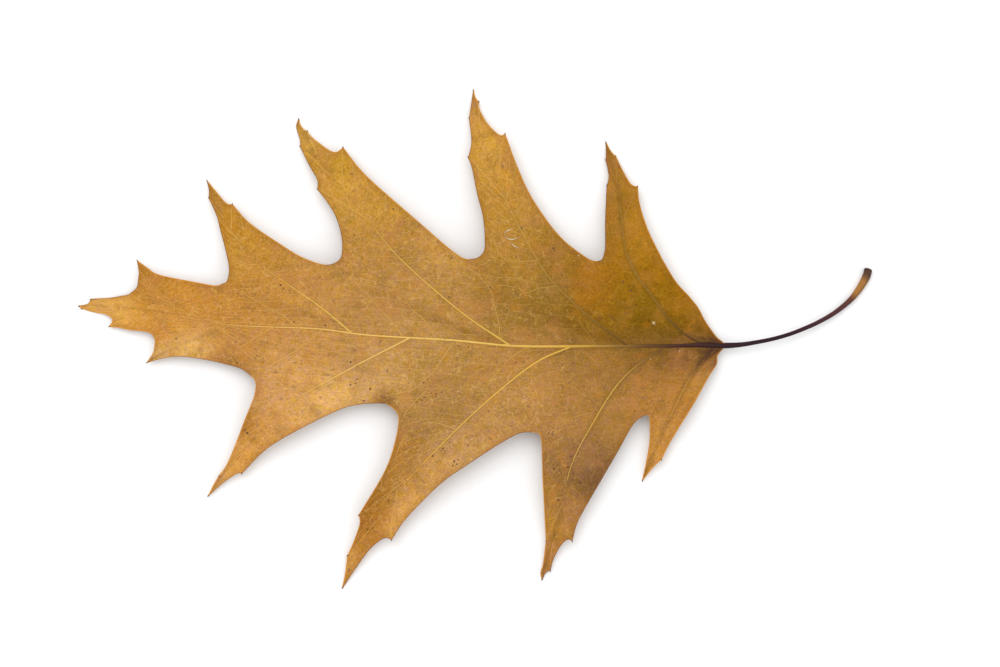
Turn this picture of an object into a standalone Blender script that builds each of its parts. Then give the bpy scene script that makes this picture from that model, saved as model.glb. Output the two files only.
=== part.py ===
"""A dried, lobed oak leaf with its stalk, lying on a surface with its upper face up.

Metres, +Z up. +X runs along the leaf from the apex of the blade to the cut end of the stalk, and +Z
comes out of the upper face. The origin is under the middle of the leaf, on the surface it lies on.
The blade is a thin wavy sheet, trimmed to the lobed outline and joined to the ribs that carry it.
"""
import bpy
import bmesh
import numpy as np
from mathutils import Vector

MM = 0.001

# Driving dimensions
SHEET_THICKNESS = 0.30 * MM
SHEET_LENGTH = 168 * MM
SHEET_WIDTH = 132 * MM
SHEET_CENTRE_X = -17 * MM
SHEET_CELL = 4.0 * MM
OUTLINE_STEP = 3.0 * MM
RIB_STEP = 6.0 * MM
STALK_STEP = 3.5 * MM
TRIM_DEPTH = 60 * MM
MIDRIB_SIDES = 8
SIDE_VEIN_SIDES = 6
RELIEF_STEP = 1 * MM

# Relief of the blade: each vein lies in a rounded valley, and the blade rises on both sides of it
VALLEY_SLOPE = 0.20
VALLEY_ROUND = 2.5 * MM
VEIN_BLEND = 2.0 * MM
RIB_SINK = 0.35

# Ribs start as a round rod of one radius, which each place on the path then scales. The simplest round
# rod has four sides, and every step of refinement adds two.
ROD_RADIUS = 1 * MM
ROD_FEWEST_SIDES = 4
WELD_DISTANCE = 0.001 * MM

LEAF_COLOR = (0.47, 0.22, 0.05, 1.0)
LEAF_ROUGHNESS = 0.6

# The midrib and the stalk: x, y, height of the axis and radius, in millimetres, from the stalk's cut
# end to the apex of the blade
MIDRIB = [
    (98.1, 17.0, 1.56, 1.15), (97.4, 15.2, 1.52, 1.10), (95.7, 12.4, 1.45, 0.90),
    (93.6, 9.8, 1.45, 0.72), (90.0, 6.8, 1.75, 0.63), (86.0, 4.4, 2.10, 0.61), (82.0, 2.6, 2.45, 0.60),
    (78.0, 1.1, 2.75, 0.60), (74.0, 0.0, 2.95, 0.60), (70.0, -0.9, 3.00, 0.62), (66.0, -1.5, 2.95, 0.68),
    (61.8, -1.8, 2.80, 0.85), (56.0, -1.6, 2.55, 0.88), (46.0, -1.9, 2.20, 0.80), (31.0, -1.9, 1.90, 0.68),
    (11.0, -1.9, 1.75, 0.56), (-6.0, -0.4, 1.85, 0.49), (-26.0, 0.8, 2.20, 0.42), (-39.0, 2.4, 2.45, 0.38),
    (-54.0, 3.0, 2.60, 0.33), (-62.0, 3.6, 2.55, 0.30), (-71.0, 5.6, 2.30, 0.27), (-79.0, 6.7, 1.85, 0.24),
    (-87.0, 7.8, 1.20, 0.20), (-94.0, 8.1, 0.55, 0.17), (-98.2, 8.1, 0.25, 0.15),
]

# Each side vein: its route from the midrib to the tip of its lobe, how high it arches over the straight
# line between its ends, the height of its tip, and its radius at the root, in millimetres
SIDE_VEINS = {
    "left_1": ([(57.0, -1.5), (52.5, 1.0), (48.2, 4.9), (43.8, 10.9), (39.8, 16.6), (37.2, 23.4),
                (35.8, 37.0), (32.8, 48.2)], 3.2, 0.20, 0.42),
    "left_2": ([(38.2, -1.9), (28.8, 5.1), (21.2, 12.1), (16.2, 18.4), (8.2, 33.4), (2.0, 48.9),
                (-0.4, 61.0)], 4.6, 0.20, 0.45),
    "left_3": ([(8.8, -1.8), (-3.8, 6.9), (-18.8, 20.1), (-28.2, 31.6), (-37.5, 42.6),
                (-44.0, 53.8)], 4.2, 0.20, 0.42),
    "left_4": ([(-30.8, 1.4), (-38.8, 8.1), (-53.8, 19.1), (-63.2, 30.9), (-66.8, 38.4)], 2.8, 1.30, 0.36),
    "left_5": ([(-71.2, 5.6), (-76.2, 10.1), (-81.2, 14.6), (-84.1, 18.6)], 1.0, 1.60, 0.25),
    "right_1": ([(59.8, -1.8), (54.2, -8.6), (48.2, -20.4), (45.5, -26.6), (42.1, -34.7)], 2.0, 1.20, 0.40),
    "right_2": ([(47.5, -1.9), (36.8, -9.9), (28.8, -21.9), (23.8, -32.1), (20.8, -45.4),
                 (17.1, -59.3)], 4.2, 0.20, 0.45),
    "right_3": ([(24.2, -1.9), (13.8, -6.9), (-1.2, -19.4), (-16.2, -34.6), (-23.8, -44.1),
                 (-32.6, -61.3)], 4.6, 0.20, 0.45),
    "right_4": ([(-16.2, 0.2), (-31.2, -7.6), (-46.2, -16.4), (-58.5, -28.9),
                 (-66.0, -38.7)], 3.2, 0.70, 0.38),
    "right_5": ([(-62.2, 3.6), (-68.8, 0.6), (-73.8, -0.8), (-81.0, -5.6)], 1.2, 1.50, 0.25),
}
SIDE_VEIN_TIP_RADIUS = 0.14

# The edge of the blade in millimetres, from the apex round by the left lobes to the stalk and back by
# the right lobes. Each stretch ends at a bristle tip or tooth, where the next one starts.
MARGIN = [
    # apex, its left shoulder and the fifth left lobe
    [(-99.2, 8.1), (-97.5, 8.5), (-96.2, 9.8)],
    [(-91.2, 10.1), (-87.2, 10.9), (-84.8, 12.6), (-84.1, 16.0), (-84.4, 19.4)],
    [(-82.0, 17.5), (-78.8, 15.5), (-71.0, 14.0), (-64.5, 13.0), (-62.0, 14.1), (-61.4, 17.1),
     (-62.2, 22.1), (-64.1, 30.1)],
    # fourth left lobe
    [(-65.2, 32.1), (-66.4, 35.0)],
    [(-66.5, 37.1), (-67.0, 39.4)],
    [(-65.2, 36.8), (-60.5, 33.4)],
    [(-56.2, 28.6), (-50.5, 24.4), (-43.8, 20.4), (-37.0, 18.2), (-33.5, 19.9), (-33.0, 22.9),
     (-34.2, 29.6), (-39.1, 37.1)],
    # third left lobe
    [(-39.5, 40.4), (-43.5, 47.9)],
    [(-44.0, 50.9), (-44.2, 54.9)],
    [(-43.5, 52.9), (-42.0, 51.8)],
    [(-39.5, 49.1), (-36.0, 46.7), (-32.9, 47.6)],
    [(-28.8, 42.1), (-23.8, 37.6), (-16.2, 31.0), (-8.8, 24.4), (-3.0, 19.9), (0.5, 19.9), (2.5, 22.1),
     (2.5, 28.4), (1.0, 35.9), (-1.6, 45.0)],
    # second left lobe
    [(-0.8, 49.6), (-1.4, 55.0)],
    [(-0.6, 58.6), (-0.4, 62.1)],
    [(0.0, 60.4), (0.9, 59.2)],
    [(1.8, 56.1), (4.5, 52.4), (7.5, 50.9)],
    [(9.8, 45.1), (13.2, 37.4), (18.2, 29.6), (22.0, 24.9), (28.8, 19.5), (31.8, 19.6), (33.1, 24.4),
     (32.7, 30.9), (33.0, 38.1)],
    # first left lobe, down to the stalk
    [(33.8, 40.9), (32.8, 44.5)],
    [(33.0, 46.8), (32.8, 49.1)],
    [(35.2, 45.5), (36.4, 42.4), (40.5, 37.8)],
    [(41.2, 34.1), (43.8, 27.1), (46.8, 19.6), (53.8, 10.9), (57.2, 5.4), (60.2, 1.1), (62.6, -0.9)],
    [(62.6, -2.6)],
    # first right lobe
    [(60.9, -4.6), (57.8, -10.4), (54.2, -16.6), (50.2, -23.6), (46.5, -30.1)],
    [(44.2, -32.6), (41.9, -35.5)],
    [(43.2, -31.6), (43.9, -25.4), (44.1, -20.4), (43.0, -19.0), (40.5, -20.6), (37.2, -25.6),
     (31.2, -35.2), (27.8, -42.1), (24.2, -50.4)],
    # second right lobe
    [(21.5, -51.6), (18.8, -58.0)],
    [(18.0, -58.6), (16.8, -60.4)],
    [(17.0, -56.9), (17.8, -49.1), (17.4, -37.9), (16.9, -26.6), (15.0, -23.3), (11.2, -23.8),
     (6.2, -26.4), (-0.8, -30.9), (-8.5, -36.1), (-15.0, -42.6), (-20.8, -50.1)],
    # third right lobe
    [(-24.0, -50.8), (-28.0, -55.1), (-33.2, -62.2)],
    [(-32.0, -57.9), (-31.8, -54.2)],
    [(-30.0, -49.9), (-28.8, -43.9)],
    [(-25.2, -37.9), (-21.2, -30.9), (-19.0, -21.6), (-20.5, -16.9), (-24.2, -16.0), (-31.2, -17.1),
     (-41.2, -21.6), (-52.0, -27.5), (-58.2, -33.6)],
    # fourth right lobe
    [(-61.8, -35.5), (-66.8, -39.4)],
    [(-65.5, -36.4), (-64.0, -34.4)],
    [(-60.8, -28.4), (-57.0, -19.4), (-54.8, -12.4), (-56.8, -8.2), (-62.5, -6.1), (-68.8, -4.9),
     (-73.8, -4.5), (-82.0, -6.0)],
    # fifth right lobe, back to the apex
    [(-80.4, -2.9), (-80.2, 0.4), (-82.2, 1.9), (-86.2, 2.2), (-91.5, 3.0)],
    [(-91.0, 5.1), (-92.8, 6.1), (-95.2, 6.6), (-98.5, 7.5)],
]


def clear_scene():
    """Remove every object, so that only the leaf is left in the file."""
    for obj in list(bpy.data.objects):
        bpy.data.objects.remove(obj, do_unlink=True)


def make_collection(name):
    """Make a collection under the scene's own one."""
    collection = bpy.data.collections.new(name)
    bpy.context.scene.collection.children.link(collection)
    return collection


def make_leaf_material():
    """Dry tan-brown leaf tissue with a dull surface."""
    material = bpy.data.materials.new("dried_leaf")
    material.use_nodes = True
    shader = material.node_tree.nodes["Principled BSDF"]
    shader.inputs["Base Color"].default_value = LEAF_COLOR
    shader.inputs["Roughness"].default_value = LEAF_ROUGHNESS
    shader.inputs["Metallic"].default_value = 0.0
    return material


def smooth_path(points, step):
    """Points about one step apart on the smooth curve (Catmull-Rom) through the given ones.

    A point may carry more values than its place, such as a radius: they are smoothed with it.
    """
    points = np.array(points, dtype=float)
    padded = np.vstack([2 * points[0] - points[1], points, 2 * points[-1] - points[-2]])
    samples = []
    for before, start, end, after in zip(padded, padded[1:], padded[2:], padded[3:]):
        count = max(1, round(np.linalg.norm((end - start)[:2]) / step))
        for t in np.arange(count) / count:
            line = 2 * start + (end - before) * t
            bend = (2 * before - 5 * start + 4 * end - after) * t ** 2
            twist = (3 * start - before - 3 * end + after) * t ** 3
            samples.append((line + bend + twist) / 2)
    samples.append(points[-1])
    return np.array(samples)


def midrib_path(step):
    """Place, height and radius along the stalk and the midrib, in metres."""
    return smooth_path(np.array(MIDRIB) * MM, step)


def side_vein_path(name, step):
    """Place, height and radius along one side vein, from the midrib to the tip of its lobe.

    The height is a straight line between the two ends, plus a parabola as high as the arch half way.
    """
    route, arch, tip_height, root_radius = SIDE_VEINS[name]
    path = smooth_path(np.array(route) * MM, step)
    midrib = midrib_path(STALK_STEP)
    root = np.argmin(np.linalg.norm(midrib[:, :2] - path[0], axis=1))
    run = np.concatenate([[0], np.cumsum(np.linalg.norm(np.diff(path, axis=0), axis=1))])
    along = run / run[-1]
    height = midrib[root, 2] * (1 - along) + tip_height * MM * along + arch * MM * 4 * along * (1 - along)
    radius = (root_radius + (SIDE_VEIN_TIP_RADIUS - root_radius) * along) * MM
    return np.column_stack([path, height, radius])


def blade_height(x, y):
    """Height of the blade's middle surface over each place, given as arrays in metres.

    Near a vein the blade is as high as that vein. Between veins their heights are mixed by nearness,
    and the blade rises with the distance from the nearest vein.
    """
    paths = [midrib_path(RELIEF_STEP)] + [side_vein_path(name, RELIEF_STEP) for name in SIDE_VEINS]
    total = np.zeros(len(x))
    mixed = np.zeros(len(x))
    for path in paths:
        squared = (x[:, None] - path[:, 0]) ** 2 + (y[:, None] - path[:, 1]) ** 2
        nearest = np.argmin(squared, axis=1)
        weight = (squared[np.arange(len(x)), nearest] + VEIN_BLEND ** 2) ** -2
        total += weight
        mixed += weight * path[nearest, 2]
    distance = np.sqrt(np.maximum(total ** -0.5 - VEIN_BLEND ** 2, 0))
    rise = VALLEY_SLOPE * (np.sqrt(distance ** 2 + VALLEY_ROUND ** 2) - VALLEY_ROUND)
    return mixed / total + rise


def make_flat_sheet(collection):
    """The flat sheet that the blade is trimmed from, in square cells and as thick as the blade."""
    bpy.ops.mesh.primitive_grid_add(
        x_subdivisions=round(SHEET_LENGTH / SHEET_CELL),
        y_subdivisions=round(SHEET_WIDTH / SHEET_CELL), size=1)
    sheet = bpy.context.object
    sheet.name = "flat_sheet"
    sheet.location.x = SHEET_CENTRE_X
    sheet.scale = (SHEET_LENGTH, SHEET_WIDTH, 1)
    bpy.ops.object.transform_apply(location=True, scale=True)
    for old in list(sheet.users_collection):
        old.objects.unlink(sheet)
    collection.objects.link(sheet)

    solid = sheet.modifiers.new("Thickness", "SOLIDIFY")
    solid.thickness = SHEET_THICKNESS
    solid.offset = 0
    return sheet


def make_blade(sheet, collection, material):
    """The trimmed sheet, raised to the blade's relief. The flat sheet is removed."""
    bpy.context.view_layer.update()
    mesh = bpy.data.meshes.new_from_object(sheet.evaluated_get(bpy.context.evaluated_depsgraph_get()))
    bpy.data.objects.remove(sheet, do_unlink=True)
    faces = bmesh.new()
    faces.from_mesh(mesh)
    bmesh.ops.triangulate(faces, faces=faces.faces)
    faces.to_mesh(mesh)
    faces.free()

    places = np.empty(len(mesh.vertices) * 3)
    mesh.vertices.foreach_get("co", places)
    places = places.reshape(-1, 3)
    places[:, 2] += blade_height(places[:, 0], places[:, 1])
    mesh.vertices.foreach_set("co", places.ravel())
    mesh.materials.clear()
    mesh.materials.append(material)
    blade = bpy.data.objects.new("oak_leaf", mesh)
    collection.objects.link(blade)
    return blade


def curve_to_mesh(curve_object, collection):
    """Turn a curve object into a mesh object with welded caps, and remove the curve."""
    graph = bpy.context.evaluated_depsgraph_get()
    mesh = bpy.data.meshes.new_from_object(curve_object.evaluated_get(graph))
    weld = bmesh.new()
    weld.from_mesh(mesh)
    bmesh.ops.remove_doubles(weld, verts=weld.verts, dist=WELD_DISTANCE)
    bmesh.ops.recalc_face_normals(weld, faces=weld.faces)
    weld.to_mesh(mesh)
    weld.free()
    solid = bpy.data.objects.new(curve_object.name + "_solid", mesh)
    solid.matrix_world = curve_object.matrix_world
    collection.objects.link(solid)
    bpy.data.objects.remove(curve_object, do_unlink=True)
    solid.hide_render = True
    solid.display_type = "WIRE"
    return solid


def new_curve(name, dimensions, places, cyclic, collection):
    """A curve object with one straight-sided spline through the given places."""
    curve = bpy.data.curves.new(name, "CURVE")
    curve.dimensions = dimensions
    spline = curve.splines.new("POLY")
    spline.points.add(len(places) - 1)
    for point, place in zip(spline.points, places):
        point.co = (*place, 1.0)
    spline.use_cyclic_u = cyclic
    obj = bpy.data.objects.new(name, curve)
    collection.objects.link(obj)
    return obj


def make_trimmer(collection):
    """A deep block with the leaf's outline, which keeps the sheet inside it."""
    edge = [MARGIN[0][0]]
    for stretch in MARGIN:
        start = [] if stretch is MARGIN[0] else [edge[-1]]
        edge.extend(tuple(place) for place in smooth_path(start + stretch, OUTLINE_STEP / MM)[1:])
    outline = new_curve("outline", "2D", [Vector((x, y, 0)) * MM for x, y in edge], True, collection)
    outline.data.fill_mode = "BOTH"
    outline.data.extrude = TRIM_DEPTH / 2
    bpy.context.view_layer.update()
    return curve_to_mesh(outline, collection)


def make_rib(name, path, sides, collection):
    """A tapered rib along a path of places, heights and radii, sunk a little below the blade."""
    places = [Vector((x, y, z - RIB_SINK * radius)) for x, y, z, radius in path]
    rib = new_curve(name, "3D", places, False, collection)
    rib.data.bevel_depth = ROD_RADIUS
    rib.data.bevel_resolution = (sides - ROD_FEWEST_SIDES) // 2
    rib.data.use_fill_caps = True
    for point, radius in zip(rib.data.splines[0].points, path[:, 3]):
        point.radius = radius / ROD_RADIUS
    bpy.context.view_layer.update()
    return curve_to_mesh(rib, collection)


def add_boolean(target, tool, operation):
    """Cut or join a mesh with another one."""
    modifier = target.modifiers.new(operation.title() + " " + tool.name, "BOOLEAN")
    modifier.operation = operation
    modifier.solver = "EXACT"
    modifier.object = tool


def make_leaf():
    """Trim the sheet to the outline and join the stalk, the midrib and the side veins to it."""
    leaf_parts = make_collection("dried_oak_leaf")
    cutters = make_collection("cutters")
    sheet = make_flat_sheet(cutters)
    add_boolean(sheet, make_trimmer(cutters), "INTERSECT")
    leaf = make_blade(sheet, leaf_parts, make_leaf_material())
    add_boolean(leaf, make_rib("midrib", midrib_path(STALK_STEP), MIDRIB_SIDES, cutters), "UNION")
    for name in SIDE_VEINS:
        add_boolean(leaf, make_rib(name, side_vein_path(name, RIB_STEP), SIDE_VEIN_SIDES, cutters), "UNION")
    return leaf


clear_scene()
make_leaf()
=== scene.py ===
"""The finished look of a dried, lobed oak leaf that lies face up, with its curved stalk.

Metres, +Z up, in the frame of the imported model: +X runs from the apex of the blade to the cut end of
the stalk, +Y points to the left lobes, and the surface under the leaf is at height 0. The blade is
made of half lobes. A half lobe is a grid of rows that run from its vein to the edge, so the fine cross
veins, the puckers between them and the streaks in its colour all follow the same rows.
"""
import logging
from dataclasses import dataclass, field
from enum import Enum

import bpy
import numpy as np
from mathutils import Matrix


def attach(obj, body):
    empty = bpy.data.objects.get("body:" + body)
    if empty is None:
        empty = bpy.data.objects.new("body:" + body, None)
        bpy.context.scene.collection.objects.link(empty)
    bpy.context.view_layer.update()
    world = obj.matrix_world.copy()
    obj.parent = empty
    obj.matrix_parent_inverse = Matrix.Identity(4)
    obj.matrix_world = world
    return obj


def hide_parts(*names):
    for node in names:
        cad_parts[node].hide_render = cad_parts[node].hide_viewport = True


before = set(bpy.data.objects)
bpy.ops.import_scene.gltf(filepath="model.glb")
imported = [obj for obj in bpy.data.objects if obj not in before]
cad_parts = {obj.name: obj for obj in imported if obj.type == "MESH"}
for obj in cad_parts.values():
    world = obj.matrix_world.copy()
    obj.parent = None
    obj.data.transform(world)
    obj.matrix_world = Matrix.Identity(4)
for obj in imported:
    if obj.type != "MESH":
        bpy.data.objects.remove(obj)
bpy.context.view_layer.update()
LOG = logging.getLogger("oak_leaf")

MM = 0.001
LEAF_NODE = "oak_leaf"
BODY = "root"
CHART = "OFBake"
CELL_FILL = 0.92
CELL_MARGIN = 0.04
STAGE_LIGHT = 1.23
Array = np.ndarray
Stretch = tuple[tuple[float, float], ...]
Color = tuple[int, int, int]
Stops = tuple[tuple[float, Color], ...]


class Side(Enum):
    """The two halves of the blade, seen from above with the stalk pointing to +X."""

    LEFT = "left"
    RIGHT = "right"


class Face(Enum):
    """The two faces of the blade, by their place in its material slots."""

    UPPER = 0
    UNDER = 1


@dataclass(frozen=True)
class Lobe:
    """One lobe of the blade and the side vein that runs to its tip, in millimetres.

    Both edges run outwards, from the bay beside the lobe (or from the stalk) to the lobe's tip. Each is
    a row of stretches: where one stretch ends and the next begins, the edge has a tooth. The first
    stretch of an edge that starts at the stalk is the part beside the inner rows. The parting is how
    far along its vein the lobe parts from its neighbours, and the tones are the vein's colours at
    shares of its length.
    """

    vein: Stretch
    arch: float
    tip_height: float
    root_radius: float
    parting: float
    tones: Stops
    stalk_edge: tuple[Stretch, ...]
    apex_edge: tuple[Stretch, ...]
    starts_at_stalk: bool = False


@dataclass(frozen=True)
class ApexLobe:
    """Half of the last lobe, which has the end of the midrib for its vein, in millimetres.

    It begins on the midrib at its foot. Its edge runs from the last bay to the apex.
    """

    foot_x: float
    parting: float
    edge: tuple[Stretch, ...]


# The stalk and the midrib: x, y, height of the axis and radius, from the cut end to the apex
MIDRIB = (
    (98.3, 17.0, 1.56, 1.00), (97.7, 15.2, 1.52, 0.98), (96.0, 12.3, 1.45, 0.84),
    (93.8, 9.6, 1.45, 0.67), (90.1, 6.6, 1.75, 0.57), (86.0, 4.2, 2.10, 0.54), (82.0, 2.4, 2.45, 0.52),
    (78.0, 0.9, 2.75, 0.51), (74.0, -0.2, 2.95, 0.51), (70.0, -1.0, 3.00, 0.53), (66.0, -1.6, 2.95, 0.60),
    (61.8, -1.8, 2.80, 0.76), (56.0, -1.6, 2.55, 0.88), (46.0, -1.9, 2.20, 0.80), (31.0, -1.9, 1.90, 0.68),
    (11.0, -1.9, 1.75, 0.56), (-6.0, -0.4, 1.85, 0.49), (-26.0, 0.8, 2.20, 0.42), (-39.0, 2.4, 2.45, 0.38),
    (-54.0, 3.0, 2.60, 0.33), (-62.0, 3.6, 2.55, 0.30), (-71.0, 5.6, 2.30, 0.27), (-79.0, 6.7, 1.85, 0.24),
    (-87.0, 7.8, 1.20, 0.20), (-94.0, 8.1, 0.55, 0.17), (-98.2, 8.1, 0.25, 0.15),
)
APEX = (-99.2, 8.1)

LEFT_LOBES = (
    Lobe(vein=((57.0, -1.5), (52.5, 1.0), (48.2, 4.9), (43.8, 10.9), (39.8, 16.6), (37.2, 23.4),
               (35.8, 37.0), (32.8, 49.1)), arch=3.2, tip_height=0.20, root_radius=0.42,
         parting=0.45,
         tones=((0.0, (78, 50, 34)), (0.14, (112, 80, 36)), (0.3, (150, 114, 50)), (0.5, (158, 126, 62)),
                (0.8, (178, 134, 62)), (1.0, (150, 92, 42))),
         stalk_edge=(((62.6, -1.8), (61.8, -0.9), (60.6, -0.0), (59.4, 1.4), (57.2, 4.6), (55.5, 7.7),
                      (53.0, 10.7), (49.9, 14.1), (46.4, 19.8)),
                     ((46.4, 19.8), (43.0, 26.9), (41.0, 33.5), (40.5, 37.8)),
                     ((40.5, 37.8), (38.8, 38.5), (36.7, 42.2), (35.2, 45.5)),
                     ((35.2, 45.5), (34.0, 46.8), (32.8, 49.1))),
         apex_edge=(((30.4, 19.1), (31.7, 19.7), (32.5, 22.7), (32.5, 28.4), (32.8, 34.6), (33.0, 38.1)),
                    ((33.0, 38.1), (33.5, 40.1), (33.3, 42.2), (32.8, 44.5)),
                    ((32.8, 44.5), (32.9, 46.6), (32.8, 49.1))), starts_at_stalk=True),
    Lobe(vein=((38.2, -1.9), (28.8, 5.1), (21.2, 12.1), (16.2, 18.4), (8.2, 33.4), (2.0, 48.9),
               (-0.4, 62.1)), arch=4.6, tip_height=0.20, root_radius=0.45,
         parting=0.38,
         tones=((0.0, (104, 70, 32)), (0.12, (140, 104, 42)), (0.3, (170, 132, 58)),
                (0.6, (214, 168, 80)), (1.0, (170, 110, 50))),
         stalk_edge=(((30.4, 19.1), (28.8, 19.4), (25.5, 21.5), (21.7, 24.6), (17.8, 29.3), (13.4, 36.2),
                      (10.0, 44.0), (7.5, 50.9)),
                     ((7.5, 50.9), (6.1, 50.6), (3.0, 53.7), (1.0, 57.5), (0.9, 59.2)),
                     ((0.9, 59.2), (0.1, 60.1), (-0.4, 62.1))),
         apex_edge=(((-1.2, 19.6), (0.6, 19.9), (2.3, 21.5), (2.6, 24.6), (2.1, 30.4), (0.7, 35.8),
                     (-0.6, 42.3), (-1.6, 45.0)),
                    ((-1.6, 45.0), (-0.8, 48.6), (-1.0, 52.0), (-1.4, 55.0)),
                    ((-1.4, 55.0), (-0.9, 58.3), (-0.4, 62.1)))),
    Lobe(vein=((8.8, -1.8), (-3.8, 6.9), (-18.8, 20.1), (-28.2, 31.6), (-37.5, 42.6),
               (-42.3, 50.4), (-43.9, 52.8), (-44.2, 54.9)), arch=4.2, tip_height=0.20, root_radius=0.42,
         parting=0.42,
         tones=((0.0, (234, 190, 88)), (0.5, (228, 180, 84)), (0.85, (216, 164, 72)),
                (1.0, (160, 102, 50))),
         stalk_edge=(((-1.2, 19.6), (-3.0, 19.9), (-6.4, 22.3), (-13.9, 28.8), (-23.9, 37.5),
                      (-28.7, 42.2), (-32.9, 47.6)),
                     ((-32.9, 47.6), (-34.2, 46.5), (-36.0, 46.7), (-38.9, 48.7), (-41.1, 50.5),
                      (-42.0, 51.8)),
                     ((-42.0, 51.8), (-43.1, 52.4), (-43.9, 53.6), (-44.2, 54.9))),
         apex_edge=(((-37.0, 18.2), (-35.2, 18.5), (-33.1, 20.2), (-32.9, 24.6), (-34.2, 29.6),
                     (-36.4, 33.6), (-39.1, 37.1)),
                    ((-39.1, 37.1), (-39.2, 39.6), (-41.2, 43.1), (-43.6, 47.9)),
                    ((-43.6, 47.9), (-43.7, 49.8), (-44.7, 53.0), (-44.2, 54.9)))),
    Lobe(vein=((-30.8, 1.4), (-38.8, 8.1), (-53.8, 19.1), (-63.2, 30.9), (-67.0, 39.4)),
         arch=2.8, tip_height=1.30, root_radius=0.36,
         parting=0.44,
         tones=((0.0, (240, 198, 92)), (0.5, (230, 182, 86)), (0.85, (216, 164, 72)),
                (1.0, (160, 102, 50))),
         stalk_edge=(((-37.0, 18.2), (-39.6, 18.8), (-43.7, 20.5), (-48.7, 23.6), (-56.1, 28.7),
                      (-60.5, 33.4)),
                     ((-60.5, 33.4), (-62.0, 33.6), (-64.2, 36.0), (-67.0, 39.4))),
         apex_edge=(((-63.2, 13.4), (-61.6, 14.3), (-61.0, 17.6), (-62.0, 22.2), (-63.3, 26.7),
                     (-64.1, 30.1)),
                    ((-64.1, 30.1), (-65.1, 32.4), (-66.4, 35.0)),
                    ((-66.4, 35.0), (-66.4, 37.1), (-67.0, 39.4)))),
    Lobe(vein=((-71.2, 5.6), (-76.2, 10.1), (-81.2, 14.6), (-84.4, 19.4)), arch=1.0, tip_height=1.60,
         root_radius=0.25,
         parting=0.22,
         tones=((0.0, (226, 180, 84)), (0.7, (214, 158, 72)), (1.0, (140, 86, 50))),
         stalk_edge=(((-63.2, 13.4), (-64.8, 13.1), (-68.8, 13.8), (-78.7, 15.8), (-82.0, 17.7),
                      (-84.4, 19.4)),),
         apex_edge=(((-85.2, 11.9), (-84.2, 13.1), (-83.9, 16.4), (-84.4, 19.4)),)),
)
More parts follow.
